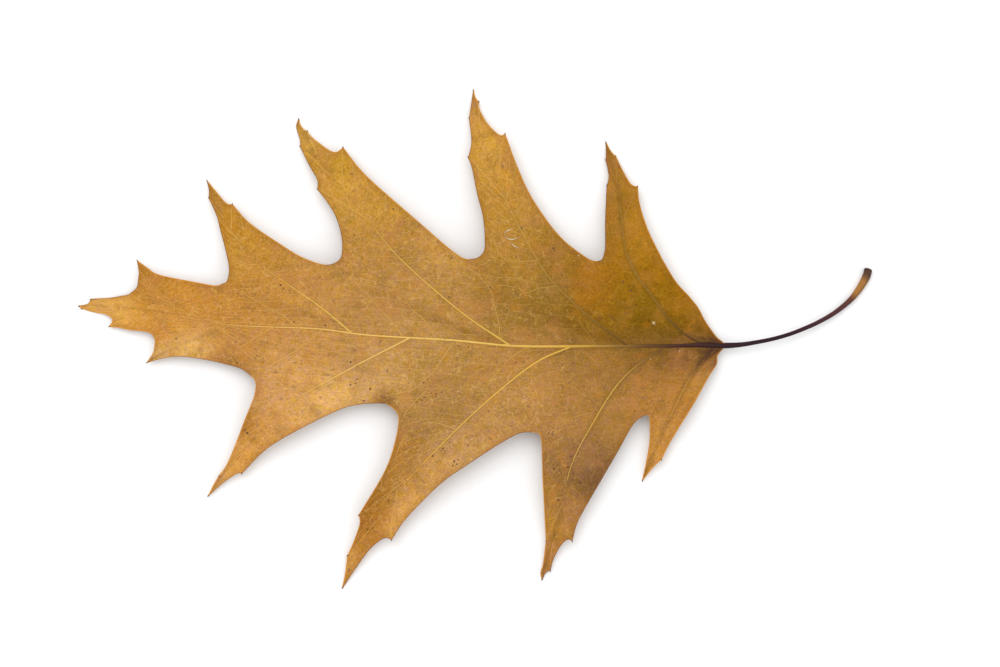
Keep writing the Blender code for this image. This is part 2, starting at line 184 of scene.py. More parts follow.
RIGHT_LOBES = (
    Lobe(vein=((59.8, -1.8), (54.2, -8.6), (48.2, -20.4), (45.5, -26.6), (41.9, -35.5)), arch=2.0,
         tip_height=1.20, root_radius=0.40,
         parting=0.48,
         tones=((0.0, (70, 42, 36)), (0.16, (104, 66, 42)), (0.3, (190, 138, 66)), (0.5, (214, 164, 78)),
                (1.0, (170, 110, 54))),
         stalk_edge=(((62.6, -1.8), (61.7, -2.7), (60.4, -4.3), (60.2, -6.4), (58.2, -9.5),
                      (54.2, -16.6)),
                     ((54.2, -16.6), (50.9, -21.9), (48.0, -27.0), (46.5, -30.1)),
                     ((46.5, -30.1), (44.3, -32.3), (41.9, -35.5))),
         apex_edge=(((42.2, -19.0), (43.4, -19.0), (43.6, -20.3), (43.6, -26.0), (42.7, -31.5),
                     (41.9, -35.5)),), starts_at_stalk=True),
    Lobe(vein=((47.5, -1.9), (36.8, -9.9), (28.8, -21.9), (23.8, -32.1), (20.8, -45.4),
               (16.8, -60.4)), arch=4.2, tip_height=0.20, root_radius=0.45,
         parting=0.38,
         tones=((0.0, (104, 70, 40)), (0.1, (150, 110, 50)), (0.25, (212, 168, 76)), (0.6, (220, 174, 84)),
                (0.75, (178, 136, 66)), (1.0, (176, 112, 50))),
         stalk_edge=(((42.2, -19.0), (39.4, -21.1), (35.7, -27.6), (33.0, -32.3), (28.4, -40.2),
                      (25.4, -45.9), (24.2, -50.4)),
                     ((24.2, -50.4), (23.2, -49.9), (21.4, -51.5), (19.5, -55.2), (18.8, -58.0)),
                     ((18.8, -58.0), (17.6, -58.6), (16.8, -60.4))),
         apex_edge=(((14.1, -23.2), (15.8, -23.4), (16.6, -25.5), (16.9, -34.1), (17.3, -41.6),
                     (17.8, -50.6)),
                    ((17.8, -50.6), (17.1, -56.4), (16.5, -58.6), (16.8, -60.4)))),
    Lobe(vein=((24.2, -1.9), (13.8, -6.9), (-1.2, -19.4), (-16.2, -34.6), (-23.8, -44.1),
               (-33.2, -62.4)), arch=4.6, tip_height=0.20, root_radius=0.45,
         parting=0.36,
         tones=((0.0, (220, 174, 76)), (0.1, (232, 184, 80)), (0.8, (232, 180, 88)),
                (1.0, (160, 102, 50))),
         stalk_edge=(((14.1, -23.2), (11.1, -23.4), (6.0, -26.1), (-2.0, -31.3), (-8.6, -36.0),
                      (-17.0, -44.5), (-20.8, -50.1)),
                     ((-20.8, -50.1), (-22.5, -49.6), (-26.2, -52.4), (-30.3, -58.0), (-33.2, -62.4))),
         apex_edge=(((-22.0, -16.1), (-19.8, -17.7), (-18.8, -20.4), (-20.2, -27.4),
                     (-22.8, -33.9), (-28.8, -43.9)),
                    ((-28.8, -43.9), (-28.6, -46.2), (-30.4, -51.2), (-31.8, -54.2)),
                    ((-31.8, -54.2), (-32.4, -58.6), (-33.2, -62.4)))),
    Lobe(vein=((-16.2, 0.2), (-31.2, -7.6), (-46.2, -16.4), (-58.5, -28.9), (-66.8, -39.4)),
         arch=3.2, tip_height=0.70, root_radius=0.38,
         parting=0.40,
         tones=((0.0, (240, 198, 106)), (0.8, (236, 186, 104)), (1.0, (160, 102, 50))),
         stalk_edge=(((-22.0, -16.1), (-24.2, -16.0), (-28.8, -16.3), (-33.9, -17.7), (-43.9, -22.6),
                      (-52.0, -27.5), (-58.2, -33.6)),
                     ((-58.2, -33.6), (-59.4, -33.6), (-63.0, -36.0), (-66.8, -39.4))),
         apex_edge=(((-55.8, -9.1), (-54.5, -10.5), (-54.7, -14.1), (-57.3, -20.5), (-61.5, -30.7),
                     (-64.0, -34.4)),
                    ((-64.0, -34.4), (-65.1, -36.2), (-66.8, -39.4)))),
    Lobe(vein=((-62.2, 3.6), (-68.8, 0.4), (-74.4, -2.0), (-82.0, -6.0)), arch=1.2, tip_height=1.50,
         root_radius=0.25,
         parting=0.14,
         tones=((0.0, (228, 182, 90)), (0.7, (220, 168, 84)), (1.0, (140, 86, 50))),
         stalk_edge=(((-55.8, -9.1), (-58.2, -7.4), (-62.8, -6.1), (-68.8, -4.9), (-73.8, -4.4),
                      (-78.2, -4.9), (-82.0, -6.0)),),
         apex_edge=(((-80.5, 1.1), (-79.8, -0.6), (-80.3, -3.4), (-82.0, -6.0)),)),
)
APEX_LOBES = {
    Side.LEFT: ApexLobe(
        foot_x=-77.0, parting=0.27,
        edge=(((-85.2, 11.9), (-86.7, 10.9), (-88.8, 10.5)),
              ((-88.8, 10.5), (-91.4, 10.1), (-96.2, 9.8)),
              ((-96.2, 9.8), (-97.0, 8.6), (-99.2, 8.1)))),
    Side.RIGHT: ApexLobe(
        foot_x=-72.0, parting=0.33,
        edge=(((-80.5, 1.1), (-82.2, 1.8), (-86.2, 2.2)),
              ((-86.2, 2.2), (-89.2, 2.8), (-91.5, 3.0)),
              ((-91.5, 3.0), (-90.6, 4.7), (-92.3, 6.1), (-95.2, 6.6), (-98.5, 7.5)),
              ((-98.5, 7.5), (-99.2, 8.1)))),
}

# Fine veins that leave the larger ones between the lobes: their routes in plan, in millimetres
MINOR_VEINS = (
    ((-18.1, 0.5), (-20.6, 4.0), (-23.4, 7.0), (-25.6, 9.6), (-28.2, 12.4), (-31.6, 15.2)),
    ((-10.3, 0.5), (-11.4, 2.6), (-12.8, 4.7), (-15.6, 7.2), (-17.8, 10.4)),
    ((6.3, -0.1), (6.0, 3.4), (5.4, 6.2), (4.7, 9.0), (3.9, 11.9), (1.2, 15.4), (-1.4, 17.4), (-2.8, 18.0),
     (-4.6, 20.3), (-8.0, 22.7)),
    ((-14.2, 27.2), (-11.2, 23.1), (-9.3, 19.7), (-9.2, 16.3), (-9.6, 12.2)),
    ((15.6, 19.4), (11.5, 19.1), (7.2, 19.9), (5.4, 22.4), (4.4, 25.6)),
    ((20.4, 13.0), (15.6, 12.4), (12.4, 11.2), (10.4, 13.4)),
    ((30.0, -1.8), (28.6, 0.8), (27.0, 2.6), (25.8, 5.2)),
    ((-5.2, -0.8), (-7.8, -4.6), (-9.9, -7.8), (-12.0, -9.9), (-15.4, -12.7), (-19.6, -13.7),
     (-22.6, -14.4)),
    ((38.4, -2.0), (35.2, -4.0), (32.4, -8.2), (30.6, -11.4)),
    ((13.6, -1.9), (8.8, -5.0), (4.4, -9.8), (0.8, -13.4)),
    ((-44.0, 2.6), (-49.0, 6.4), (-53.6, 8.8), (-57.8, 11.4)),
    ((-38.0, 2.2), (-43.4, -2.2), (-48.6, -5.4), (-52.4, -7.6)),
    ((-50.0, 2.9), (-54.4, 0.4), (-58.6, -2.4)),
    ((-4.8, -22.6), (-8.6, -21.2), (-12.2, -20.9), (-15.2, -22.4), (-17.1, -24.0), (-18.5, -26.4),
     (-19.8, -29.6)),
    ((-12.0, -12.9), (-14.6, -15.4), (-16.6, -17.6), (-17.8, -19.6)),
    ((29.9, -18.3), (25.3, -19.4), (21.6, -20.6), (19.4, -22.6), (18.2, -24.6)),
)
# Groups of small dark spots: the middle of each group, its spread and the number of its spots
SPECK_GROUPS = (
    (-11.2, -12.4, 1.3, 4), (-13.6, -15.0, 0.9, 3), (-8.6, -14.0, 1.2, 3), (-30.8, -6.1, 0.8, 2),
    (-36.2, 4.3, 0.9, 3), (-44.8, 4.1, 0.3, 2), (-25.2, -14.6, 0.9, 3), (-31.6, -10.6, 1.0, 3),
    (-8.2, -27.8, 0.8, 3), (-5.4, -31.7, 0.9, 4), (-11.6, -29.4, 1.2, 2), (-17.4, -35.2, 0.7, 2),
    (-20.8, -39.8, 0.9, 3), (-15.1, -40.8, 0.3, 1), (-26.6, -47.2, 0.9, 3), (19.4, -23.0, 0.9, 4),
    (22.4, -32.4, 1.4, 4), (19.6, -33.0, 0.6, 2), (25.0, -36.0, 0.8, 2), (21.2, -40.2, 0.4, 1),
    (7.2, -7.1, 0.7, 2), (5.0, -3.6, 0.9, 2), (-2.4, -2.6, 0.9, 2), (22.5, -2.9, 0.3, 1),
    (30.6, 3.1, 0.8, 2), (20.0, 22.8, 0.7, 3), (4.0, 13.1, 0.9, 2), (-7.0, 10.6, 0.8, 2),
    (-20.2, 32.4, 0.3, 1), (-16.8, 29.4, 0.6, 2), (-57.0, -23.0, 1.0, 3), (49.2, 3.4, 0.4, 1),
    (-74.5, -0.6, 0.5, 1), (37.0, 11.6, 1.4, 2), (52.6, -4.2, 1.2, 2), (33.0, -12.0, 2.2, 3),
    (-2.0, -24.0, 2.6, 3), (8.0, 36.0, 3.0, 2), (-46.0, 12.0, 3.0, 3), (-60.0, 4.0, 3.0, 2),
)
# Soft patches of colour on the blade: x, y and radius in millimetres, and the colour. They are partly
# the blade's own colour and partly painted light and shade: some make the wall of a lobe on one side
# of its vein paler and the other darker.
WASHES = (
    (-94, 9, 7, (222, 160, 70)), (-86, 4, 7, (221, 155, 62)), (-76, 14, 7, (201, 134, 40)),
    (-76, -1, 8, (216, 152, 74)), (-66, 8, 9, (204, 138, 60)), (-66, 32, 8, (190, 134, 45)),
    (-56, 24, 9, (196, 138, 47)), (-54, 12, 9, (196, 137, 62)), (-56, -5, 9, (194, 137, 72)),
    (-62, -34, 8, (232, 167, 84)), (-55, -24, 8, (214, 148, 72)), (-46, -19, 8, (226, 168, 98)),
    (-42, -4, 10, (205, 148, 84)), (-36, 12, 10, (198, 142, 74)), (-38, 45, 9, (203, 149, 52)),
    (-28, 36, 8, (204, 150, 60)), (-26, 22, 10, (184, 132, 61)), (-28, 4, 9, (188, 137, 76)),
    (-28, -14, 8, (220, 167, 102)), (-31, -56, 8, (210, 146, 68)), (-26, -46, 7, (184, 119, 42)),
    (-17, -34, 7, (170, 118, 53)), (-15, -43, 7, (218, 159, 86)), (-16, 14, 10, (183, 134, 70)),
    (-16, -2, 8, (196, 148, 84)), (-14, -22, 9, (172, 123, 62)), (-5, 10, 10, (193, 142, 77)),
    (-5, -10, 8, (176, 131, 68)), (-6, -22, 7, (176, 128, 72)), (-4, -31, 7, (208, 157, 94)),
    (2, 56, 8, (216, 159, 68)), (3, 42, 8, (203, 148, 58)), (4, 28, 9, (190, 136, 53)),
    (4, 14, 8, (166, 119, 47)), (4, 3, 7, (172, 127, 61)), (4, -9, 8, (184, 133, 69)),
    (4, -22, 8, (189, 141, 81)), (14, 31, 8, (180, 131, 53)), (14, 16, 8, (168, 122, 45)),
    (14, 4, 7, (154, 112, 43)), (14, -9, 8, (190, 137, 72)), (14, -19, 7, (184, 130, 75)),
    (22, 20, 7, (162, 112, 30)), (24, 9, 6, (138, 96, 14)), (23, -6, 7, (162, 116, 58)),
    (24, -20, 8, (176, 124, 66)), (22, -33, 8, (149, 105, 59)), (21, -46, 8, (178, 124, 58)),
    (34, 40, 7, (181, 127, 56)), (33, 28, 7, (157, 108, 34)), (33, 15, 7, (160, 106, 8)),
    (33, 4, 7, (143, 98, 10)), (34, -7, 7, (164, 116, 54)), (34, -20, 8, (168, 121, 61)),
    (33, -33, 6, (127, 88, 52)), (41, 29, 7, (186, 128, 50)), (44, 14, 7, (163, 111, 8)),
    (42, 5, 7, (118, 86, 2)), (44, -4, 6, (140, 97, 42)), (44, -14, 7, (180, 124, 60)),
    (45, -26, 7, (212, 148, 70)), (54, 8, 6, (160, 106, 4)), (54, 1, 5, (116, 80, 2)),
    (55, -6, 5, (150, 102, 46)), (56, -12, 6, (190, 129, 52)), (29, 13, 5, (186, 116, 34)),
    (61, -1, 2.6, (86, 54, 40)), (58, 3, 2.6, (122, 82, 26)), (59.5, -6, 2.4, (122, 80, 50)),
    (-22.5, -15.4, 2.0, (132, 88, 34)), (-24, -39, 4.4, (154, 98, 18)), (-28, -45, 3, (176, 112, 36)),
    (-15, -41, 4.4, (232, 172, 98)), (-33, -57, 3, (226, 166, 86)), (-57, -22, 3, (178, 118, 48)),
    (-64, -36, 3, (240, 182, 108)), (-60, -6, 3, (172, 118, 56)), (-78, -4, 3, (244, 196, 124)),
    (-82, 10, 3, (190, 126, 40)), (-92, 7, 4, (240, 184, 96)), (44, -30, 3, (232, 166, 88)),
    (-34, 45, 3.4, (196, 144, 36)), (-42, 51, 3, (216, 166, 78)), (-62, 28, 3, (196, 134, 30)),
    (10, 41, 3, (198, 138, 52)), (20, 20, 3, (150, 104, 34)), (39, 11, 4, (132, 98, 2)),
    (57, 4, 2.6, (128, 88, 8)), (35, 33, 3, (160, 108, 50)), (0, 58, 3, (206, 150, 84)),
    (33, 45, 3, (176, 120, 70)), (19, -55, 4, (190, 132, 80)), (24, -43, 3, (176, 122, 72)),
    (29, -36, 3, (120, 82, 52)), (-20, -28, 3, (192, 130, 54)), (-10, -33, 3.4, (216, 160, 92)),
    (-19, -47, 3, (232, 172, 92)), (-79, 1, 3, (200, 130, 54)), (-74, -3.5, 2.4, (246, 196, 112)),
    (-52, -14, 4, (206, 150, 98)), (-28, -7, 4, (186, 140, 90)), (-6, -27, 4, (198, 148, 96)),
    (27, -29, 3.4, (138, 100, 66)), (52, -5, 3, (140, 90, 56)), (57, -11, 3, (210, 152, 66)),
    (20, 12, 4, (140, 106, 40)), (-21, 13, 4, (194, 140, 80)), (-70, -2, 3, (238, 186, 112)),
    (-24, 34, 4, (204, 148, 58)), (-10, -17, 4, (164, 124, 70)), (12, -14, 4, (188, 138, 76)),
    (-47, -8, 4, (218, 162, 98)), (4, 10, 4, (148, 106, 38)), (-35, -15, 4, (238, 182, 110)),
    (-8, 22, 4, (206, 152, 80)), (17, -38, 3, (180, 124, 50)), (18, -46, 3, (200, 142, 56)),
    (17, -53, 3, (204, 142, 76)), (-58, -29, 3, (216, 152, 74)), (-95, 9, 3, (244, 184, 96)),
    (-60, 20, 4, (206, 148, 52)),
)
# A small tear and a few scratches that show the pale inside of the blade, in millimetres
SCRATCHES = (
    ((7.2, 25.7), (7.6, 26.4), (8.6, 27.0), (9.8, 27.3)),
    ((7.2, 25.7), (7.9, 24.9), (9.2, 24.6), (10.4, 24.9), (11.4, 25.2)),
    ((8.8, 23.8), (9.9, 22.9), (11.2, 22.5)),
    ((44.1, 4.4), (44.5, 3.9), (45.0, 3.2)),
    ((44.0, 3.5), (44.5, 3.9), (45.1, 4.2)),
    ((25.5, 20.8), (25.9, 20.5), (26.2, 20.3)),
    ((50.9, -3.0), (51.1, -3.1), (51.3, -3.1)),
    ((43.6, -5.0), (43.8, -5.1), (44.0, -5.2)),
)


# --------------------------------------
# Curves and meshes
# --------------------------------------

def arc_length(path: Array) -> Array:
    """Distance run in plan along a path at each of its points."""
    steps = np.linalg.norm(np.diff(path[:, :2], axis=0), axis=1)
    return np.concatenate([[0.0], np.cumsum(steps)])


def at_distances(path: Array, wanted: Array) -> Array:
    """The path's points at the wanted distances along it, every column mixed alike."""
    run = arc_length(path)
    return np.column_stack([np.interp(wanted, run, column) for column in path.T])


def even_samples(path: Array, count: int) -> Array:
    """A path cut into count even steps: count + 1 points."""
    return at_distances(path, np.linspace(0.0, arc_length(path)[-1], count + 1))


def smooth_path(points: Array, step: float) -> Array:
    """Points on the smooth curve (Catmull-Rom) through the given ones.

    Each span is the cubic whose slope at either end is half the step between the end's neighbours.

    Args:
        points: one row for each point, with its place first and any other values after it.
        step: about how far apart the new points lie, in metres.

    Returns:
        The points of the curve, with every column smoothed alike.
    """
    points = np.asarray(points, dtype=float)
    padded = np.vstack([2 * points[0] - points[1], points, 2 * points[-1] - points[-2]])
    spans = []
    for before, start, end, after in zip(padded, padded[1:], padded[2:], padded[3:]):
        count = max(1, round(float(np.linalg.norm((end - start)[:2])) / step))
        t = (np.arange(count) / count)[:, None]
        line = 2 * start + (end - before) * t
        bend = (2 * before - 5 * start + 4 * end - after) * t ** 2
        twist = (3 * start - before - 3 * end + after) * t ** 3
        spans.append((line + bend + twist) / 2)
    return np.vstack([*spans, points[-1:]])


@dataclass
class Shape:
    """A closed surface before it becomes a piece.

    The chart holds a flat place in the unit square for each corner of each triangle. The tones are one
    linear colour for each vertex, and around holds each vertex's share of the way along its rod, and
    the cosine and the sine of its angle round it: the cosine is 1 on the right flank of a rod that
    runs away from the viewer, and the sine is 1 on top.
    """

    places: Array
    triangles: Array
    chart: Array
    tones: Array
    around: Array

    def make(self, name: str) -> bpy.types.Object:
        """Turn the shape into a smooth mesh object at the origin, with its chart and its values.

        Args:
            name: the piece's name.

        Returns:
            The piece, linked to the scene.
        """
        mesh = bpy.data.meshes.new(name)
        mesh.from_pydata(self.places.tolist(), [], self.triangles.tolist())
        mesh.polygons.foreach_set("use_smooth", np.ones(len(self.triangles), dtype=bool))
        layer = mesh.uv_layers.new(name=CHART)
        layer.uv.foreach_set("vector", self.chart.astype(np.float32).ravel())
        mesh.update()
        piece = bpy.data.objects.new(name, mesh)
        bpy.context.scene.collection.objects.link(piece)
        put_values(piece, "tone", self.tones)
        put_values(piece, "around", self.around)
        return piece


def put_values(piece: bpy.types.Object, name: str, values: Array) -> None:
    """Store one value, vector or colour for each vertex of a piece, under a name that finishes read.

    Args:
        piece: the piece.
        name: the name of the values.
        values: one row for each vertex; its width of 1, 3 or 4 says which kind it is.
    """
    kinds = {1: ("FLOAT", "value"), 3: ("FLOAT_VECTOR", "vector"), 4: ("FLOAT_COLOR", "color")}
    kind, member = kinds[1 if values.ndim == 1 else values.shape[1]]
    layer = piece.data.attributes.new(name, kind, "POINT")
    layer.data.foreach_set(member, values.astype(np.float32).ravel())


def sweep(path: Array, radii: Array, tones: Array, flatten: float = 1.0) -> Shape:
    """A rod carried along a path, closed at both ends by a point.

    Each ring lies square to the path, in the plane of the path's sideways and upward directions. A
    vertex is its radius times the cosine of its angle sideways, and times the sine and flatten up.

    Args:
        path: the places along the rod's axis.
        radii: the rod's radius, one row for each place and one column for each flat round the rod.
        tones: one linear colour with alpha for each place.
        flatten: the rod's height over its width.

    Returns:
        The closed rod, with its chart filling the unit square.
    """
    count, sides = radii.shape
    ahead = np.gradient(path, axis=0)
    ahead /= np.linalg.norm(ahead, axis=1, keepdims=True)
    sideways = np.cross(ahead, (0.0, 0.0, 1.0))
    sideways /= np.linalg.norm(sideways, axis=1, keepdims=True)
    upwards = np.cross(sideways, ahead)
    angle = np.arange(sides) * 2 * np.pi / sides
    across = (radii * np.cos(angle))[..., None] * sideways[:, None]
    above = (radii * np.sin(angle) * flatten)[..., None] * upwards[:, None]
    rings = (path[:, None] + across + above).reshape(-1, 3)

    grids = np.meshgrid(np.arange(count - 1), np.arange(sides), indexing="ij")
    ring, flat = (grid.ravel() for grid in grids)
    here, there = ring * sides + flat, ring * sides + (flat + 1) % sides
    u = np.stack([ring + 1, ring + 1, ring + 2, ring + 1, ring + 2, ring + 2], axis=-1) / (count + 1)
    v = np.stack([flat, flat + 1, flat + 1, flat, flat + 1, flat], axis=-1) / sides
    wall = np.stack([here, there, there + sides, here, there + sides, here + sides], axis=-1)
    first = np.arange(sides)
    after = (first + 1) % sides
    last = (count - 1) * sides
    start_cap = np.column_stack([after, first, np.full(sides, count * sides)])
    end_cap = np.column_stack([first + last, after + last, np.full(sides, count * sides + 1)])
    start_u = np.tile([1.0, 1.0, 0.0], (sides, 1)) / (count + 1)
    end_u = np.tile([count, count, count + 1.0], (sides, 1)) / (count + 1)
    start_v = np.column_stack([first + 1, first, first + 0.5]) / sides
    end_v = np.column_stack([first, first + 1, first + 0.5]) / sides
    chart = np.stack([np.vstack([u.reshape(-1, 3), start_u, end_u]),
                      np.vstack([v.reshape(-1, 3), start_v, end_v])], axis=-1)
    share = np.concatenate([np.repeat(np.linspace(0, 1, count), sides), [0.0, 1.0]])
    cosine, sine = (np.append(np.tile(wave, count), [0.0, 0.0]) for wave in (np.cos(angle), np.sin(angle)))
    return Shape(np.vstack([rings, path[:1], path[-1:]]),
                 np.vstack([wall.reshape(-1, 3), start_cap, end_cap]),
                 chart,
                 np.vstack([np.repeat(tones, sides, axis=0), tones[:1], tones[-1:]]),
                 np.column_stack([share, cosine, sine]))


def round_rod(path: Array, radii: Array, tones: Array, sides: int, flatten: float = 1.0) -> Shape:
    """A swept rod of circular or oval section, with one radius for each place on its path."""
    return sweep(path, np.repeat(radii[:, None], sides, axis=1), tones, flatten)


def join_shapes(shapes: list[Shape], columns: int = 1) -> Shape:
    """Several shapes as one, with their charts side by side in a grid of cells.

    Each chart keeps the middle part of its cell, so that neighbours don't touch.

    Args:
        shapes: the shapes.
        columns: the number of cells in a row of the grid.

    Returns:
        The joined shape.
    """
    starts = np.cumsum([0] + [len(shape.places) for shape in shapes])
    rows = -(-len(shapes) // columns)
    cell = np.array([1 / columns, 1 / rows])
    charts = [(shape.chart * CELL_FILL + CELL_MARGIN + (number % columns, number // columns)) * cell
              for number, shape in enumerate(shapes)]
    return Shape(np.vstack([shape.places for shape in shapes]),
                 np.vstack([shape.triangles + start for shape, start in zip(shapes, starts)]),
                 np.vstack(charts),
                 np.vstack([shape.tones for shape in shapes]),
                 np.vstack([shape.around for shape in shapes]))


# --------------------------------------
# Colour
# --------------------------------------

def linear(color: Color) -> Array:
    """A display colour of 0 to 255 as the share of the light that a finish gives back.

    The stage is lit a little past white to keep its floor pale, so finishes hold back as much.

    Args:
        color: red, green and blue.

    Returns:
        The three linear shares.
    """
    share = np.array(color, dtype=float) / 255
    light = np.where(share <= 0.04045, share / 12.92, ((share + 0.055) / 1.055) ** 2.4)
    return light / STAGE_LIGHT


def tone_along(places: Array, stops: Stops) -> Array:
    """The colours at places along a row of colour stops.

    Args:
        places: the places, in the stops' own unit.
        stops: the colours and where each lies.

    Returns:
        One linear colour with alpha 1 for each place.
    """
    at = [stop for stop, _ in stops]
    colors = np.array([linear(color) for _, color in stops])
    mixed = [np.interp(places, at, column) for column in colors.T]
    return np.column_stack([*mixed, np.ones(len(places))])


@dataclass(frozen=True)
class Wash:
    """A soft patch of colour on the blade: its middle and its radius in millimetres."""

    x: float
    y: float
    radius: float
    color: Color


@dataclass(frozen=True)
class BladeTones:
    """How the colour of the dry blade drifts from part to part, partly its own colour and partly painted
    light and shade.
    """

    dull_from: float = 6.0
    dull_to: float = 34.0
    washes: tuple[Wash, ...] = tuple(Wash(*row) for row in WASHES)

    def at(self, x: Array, y: Array) -> Array:
        """The blade's own colour at each place.

        It is the mean of the washes. Each is weighted by a bell curve of the distance to its middle,
        over its radius, so a small wash shows through the wide ones round it.

        Args:
            x: places along the leaf, in metres.
            y: places across the leaf, in metres.

        Returns:
            One linear colour with alpha 1 for each place.
        """
        total = np.full(len(x), 1e-12)
        mixed = np.zeros((len(x), 3))
        for wash in self.washes:
            squared = ((x / MM - wash.x) ** 2 + (y / MM - wash.y) ** 2) / wash.radius ** 2
            weight = np.exp(-squared) / wash.radius
            total += weight
            mixed += weight[:, None] * linear(wash.color)
        return np.column_stack([mixed / total[:, None], np.ones(len(x))])

    def beside(self, places: Array, color: Color, share: float, dulled: float = 1.0) -> Array:
        """The blade's colours at some places, mixed with a share of another colour.

        Args:
            places: the places, in metres.
            color: the other colour.
            share: how much of it there is between the apex and the middle of the leaf.
            dulled: what is left of that share near the stalk, where the leaf has darkened most.

        Returns:
            One linear colour with alpha for each place.
        """
        old = np.clip((places[:, :1] / MM - self.dull_from) / (self.dull_to - self.dull_from), 0, 1)
        share = share * (1 - old * (1 - dulled))
        own = self.at(places[:, 0], places[:, 1])
        other = np.append(linear(color), 1.0)
        return own * (1 - share) + other * share


# --------------------------------------
# The ribs and the height of the blade
# --------------------------------------

@dataclass
class Ribs:
    """The stalk, the midrib and the side veins, and the height of the blade that they carry."""

    lobes: dict[Side, tuple[Lobe, ...]]
    valley_slope: float = 0.20
    valley_round: float = 2.5 * MM
    vein_blend: float = 2.0 * MM
    route_step: float = 0.5 * MM
    tip_radius: float = 0.12 * MM
    sink: float = 0.35
    slimness: float = 0.75
    taper_power: float = 0.8
    midrib_sides: int = 20
    vein_sides: int = 12
    groove_depth: float = 0.07
    groove_twist: float = 0.06
    stalk_from: float = 52.0
    stalk_blend: float = 12.0
    scar_radius: float = 0.98 * MM
    scar_sides: int = 16
    scar_wobble: float = 0.05
    minor_radius: float = 0.18 * MM
    minor_taper: float = 0.06 * MM
    minor_sides: int = 8
    minor_color: Color = (240, 190, 98)
    midrib_tones: Stops = (
        (-98.2, (150, 92, 52)), (-92.0, (216, 158, 76)), (-70.0, (230, 178, 92)), (-40.0, (240, 194, 104)),
        (0.0, (240, 198, 104)), (18.0, (230, 184, 84)), (27.0, (206, 160, 66)), (35.0, (156, 116, 54)),
        (43.0, (104, 70, 38)), (51.0, (74, 44, 34)), (62.0, (52, 28, 31)), (76.0, (46, 22, 31)),
        (84.0, (66, 34, 42)), (91.0, (88, 48, 50)), (94.0, (104, 60, 44)), (95.4, (176, 122, 58)),
        (97.2, (170, 118, 62)), (98.0, (98, 66, 50)), (98.6, (76, 52, 44)),
    )

    def __post_init__(self) -> None:
        """Work out the route of the midrib and of every side vein."""
        self.midrib = smooth_path(np.array(MIDRIB) * MM, self.route_step)
        self.side_veins = {
            (side, number): self._side_vein(lobe)
            for side, lobes in self.lobes.items() for number, lobe in enumerate(lobes)}
        self.routes = [self.midrib, *self.side_veins.values()]

    def _side_vein(self, lobe: Lobe) -> Array:
        """Place, height and radius along a side vein.

        The height is a straight line from the midrib to the lobe's tip, plus a parabola that is as
        high as the vein's arch half way along. The radius goes from the root's to the tip's with a
        power of the share of the way, which is just under 1, so it shrinks faster near the root.

        Args:
            lobe: the lobe that the vein runs to.

        Returns:
            One row of x, y, height and radius for each point.
        """
        path = smooth_path(np.array(lobe.vein) * MM, self.route_step)
        root = np.argmin(np.linalg.norm(self.midrib[:, :2] - path[0], axis=1))
        along = arc_length(path) / arc_length(path)[-1]
        straight = self.midrib[root, 2] * (1 - along) + lobe.tip_height * MM * along
        height = straight + lobe.arch * MM * 4 * along * (1 - along)
        root_radius = lobe.root_radius * MM * self.slimness
        radius = root_radius + (self.tip_radius - root_radius) * along ** self.taper_power
        return np.column_stack([path, height, radius])

    def blade_height(self, x: Array, y: Array) -> tuple[Array, Array]:
        """Height of the blade's middle surface, and how far away the nearest veins are.

        The veins' heights are averaged, each weighted by the inverse fourth power of its distance, and
        the blade rises from the nearest vein along a hyperbola, which is a rounded valley with straight
        sides. So beside a lone vein the blade is as high as the vein, and near a root, where two veins
        share the weight, it lies between them.

        Args:
            x: places along the leaf, in metres.
            y: places across the leaf, in metres.

        Returns:
            The height and the distance at each place, in metres.
        """
        total = np.zeros(len(x))
        mixed = np.zeros(len(x))
        for route in self.routes:
            squared = (x[:, None] - route[:, 0]) ** 2 + (y[:, None] - route[:, 1]) ** 2
            nearest = np.argmin(squared, axis=1)
            weight = (squared[np.arange(len(x)), nearest] + self.vein_blend ** 2) ** -2
            total += weight
            mixed += weight * route[nearest, 2]
        distance = np.sqrt(np.maximum(total ** -0.5 - self.vein_blend ** 2, 0))
        rise = self.valley_slope * (np.hypot(distance, self.valley_round) - self.valley_round)
        return mixed / total + rise, distance

    def midrib_at(self, x: Array) -> Array:
        """Places on the midrib, in plan, for places along the leaf between the stalk and the apex."""
        falling = self.midrib[::-1]
        return np.column_stack([x, np.interp(x, falling[:, 0], falling[:, 1])])

    def _axis(self, route: Array) -> Array:
        """The axis of a rib: the blade's own height, less a share of the radius, so no root hides it."""
        height, _ = self.blade_height(route[:, 0], route[:, 1])
        return np.column_stack([route[:, :2], height - self.sink * route[:, 3]])

    def build_midrib(self) -> Shape:
        """The stalk and the midrib in one rod.

        The stalk has dried into three shallow grooves: its radius is the rib's own, times one less
        a share of the cosine of three times the angle. The grooves fade where the blade begins.

        Returns:
            The closed rod.
        """
        angle = np.arange(self.midrib_sides) * 2 * np.pi / self.midrib_sides
        on_stalk = np.clip((self.midrib[:, 0] / MM - self.stalk_from) / self.stalk_blend, 0, 1)[:, None]
        slim = self.slimness + (1 - self.slimness) * on_stalk
        twist = self.midrib[:, :1] / MM * self.groove_twist
        grooves = np.cos(3 * angle + twist) + 0.5 * np.cos(7 * angle - twist)
        grooves *= self.groove_depth
        radii = self.midrib[:, 3:] * slim * (1 - on_stalk * grooves)
        tones = tone_along(self.midrib[:, 0] / MM, self.midrib_tones)
        return sweep(self._axis(self.midrib), radii, tones)

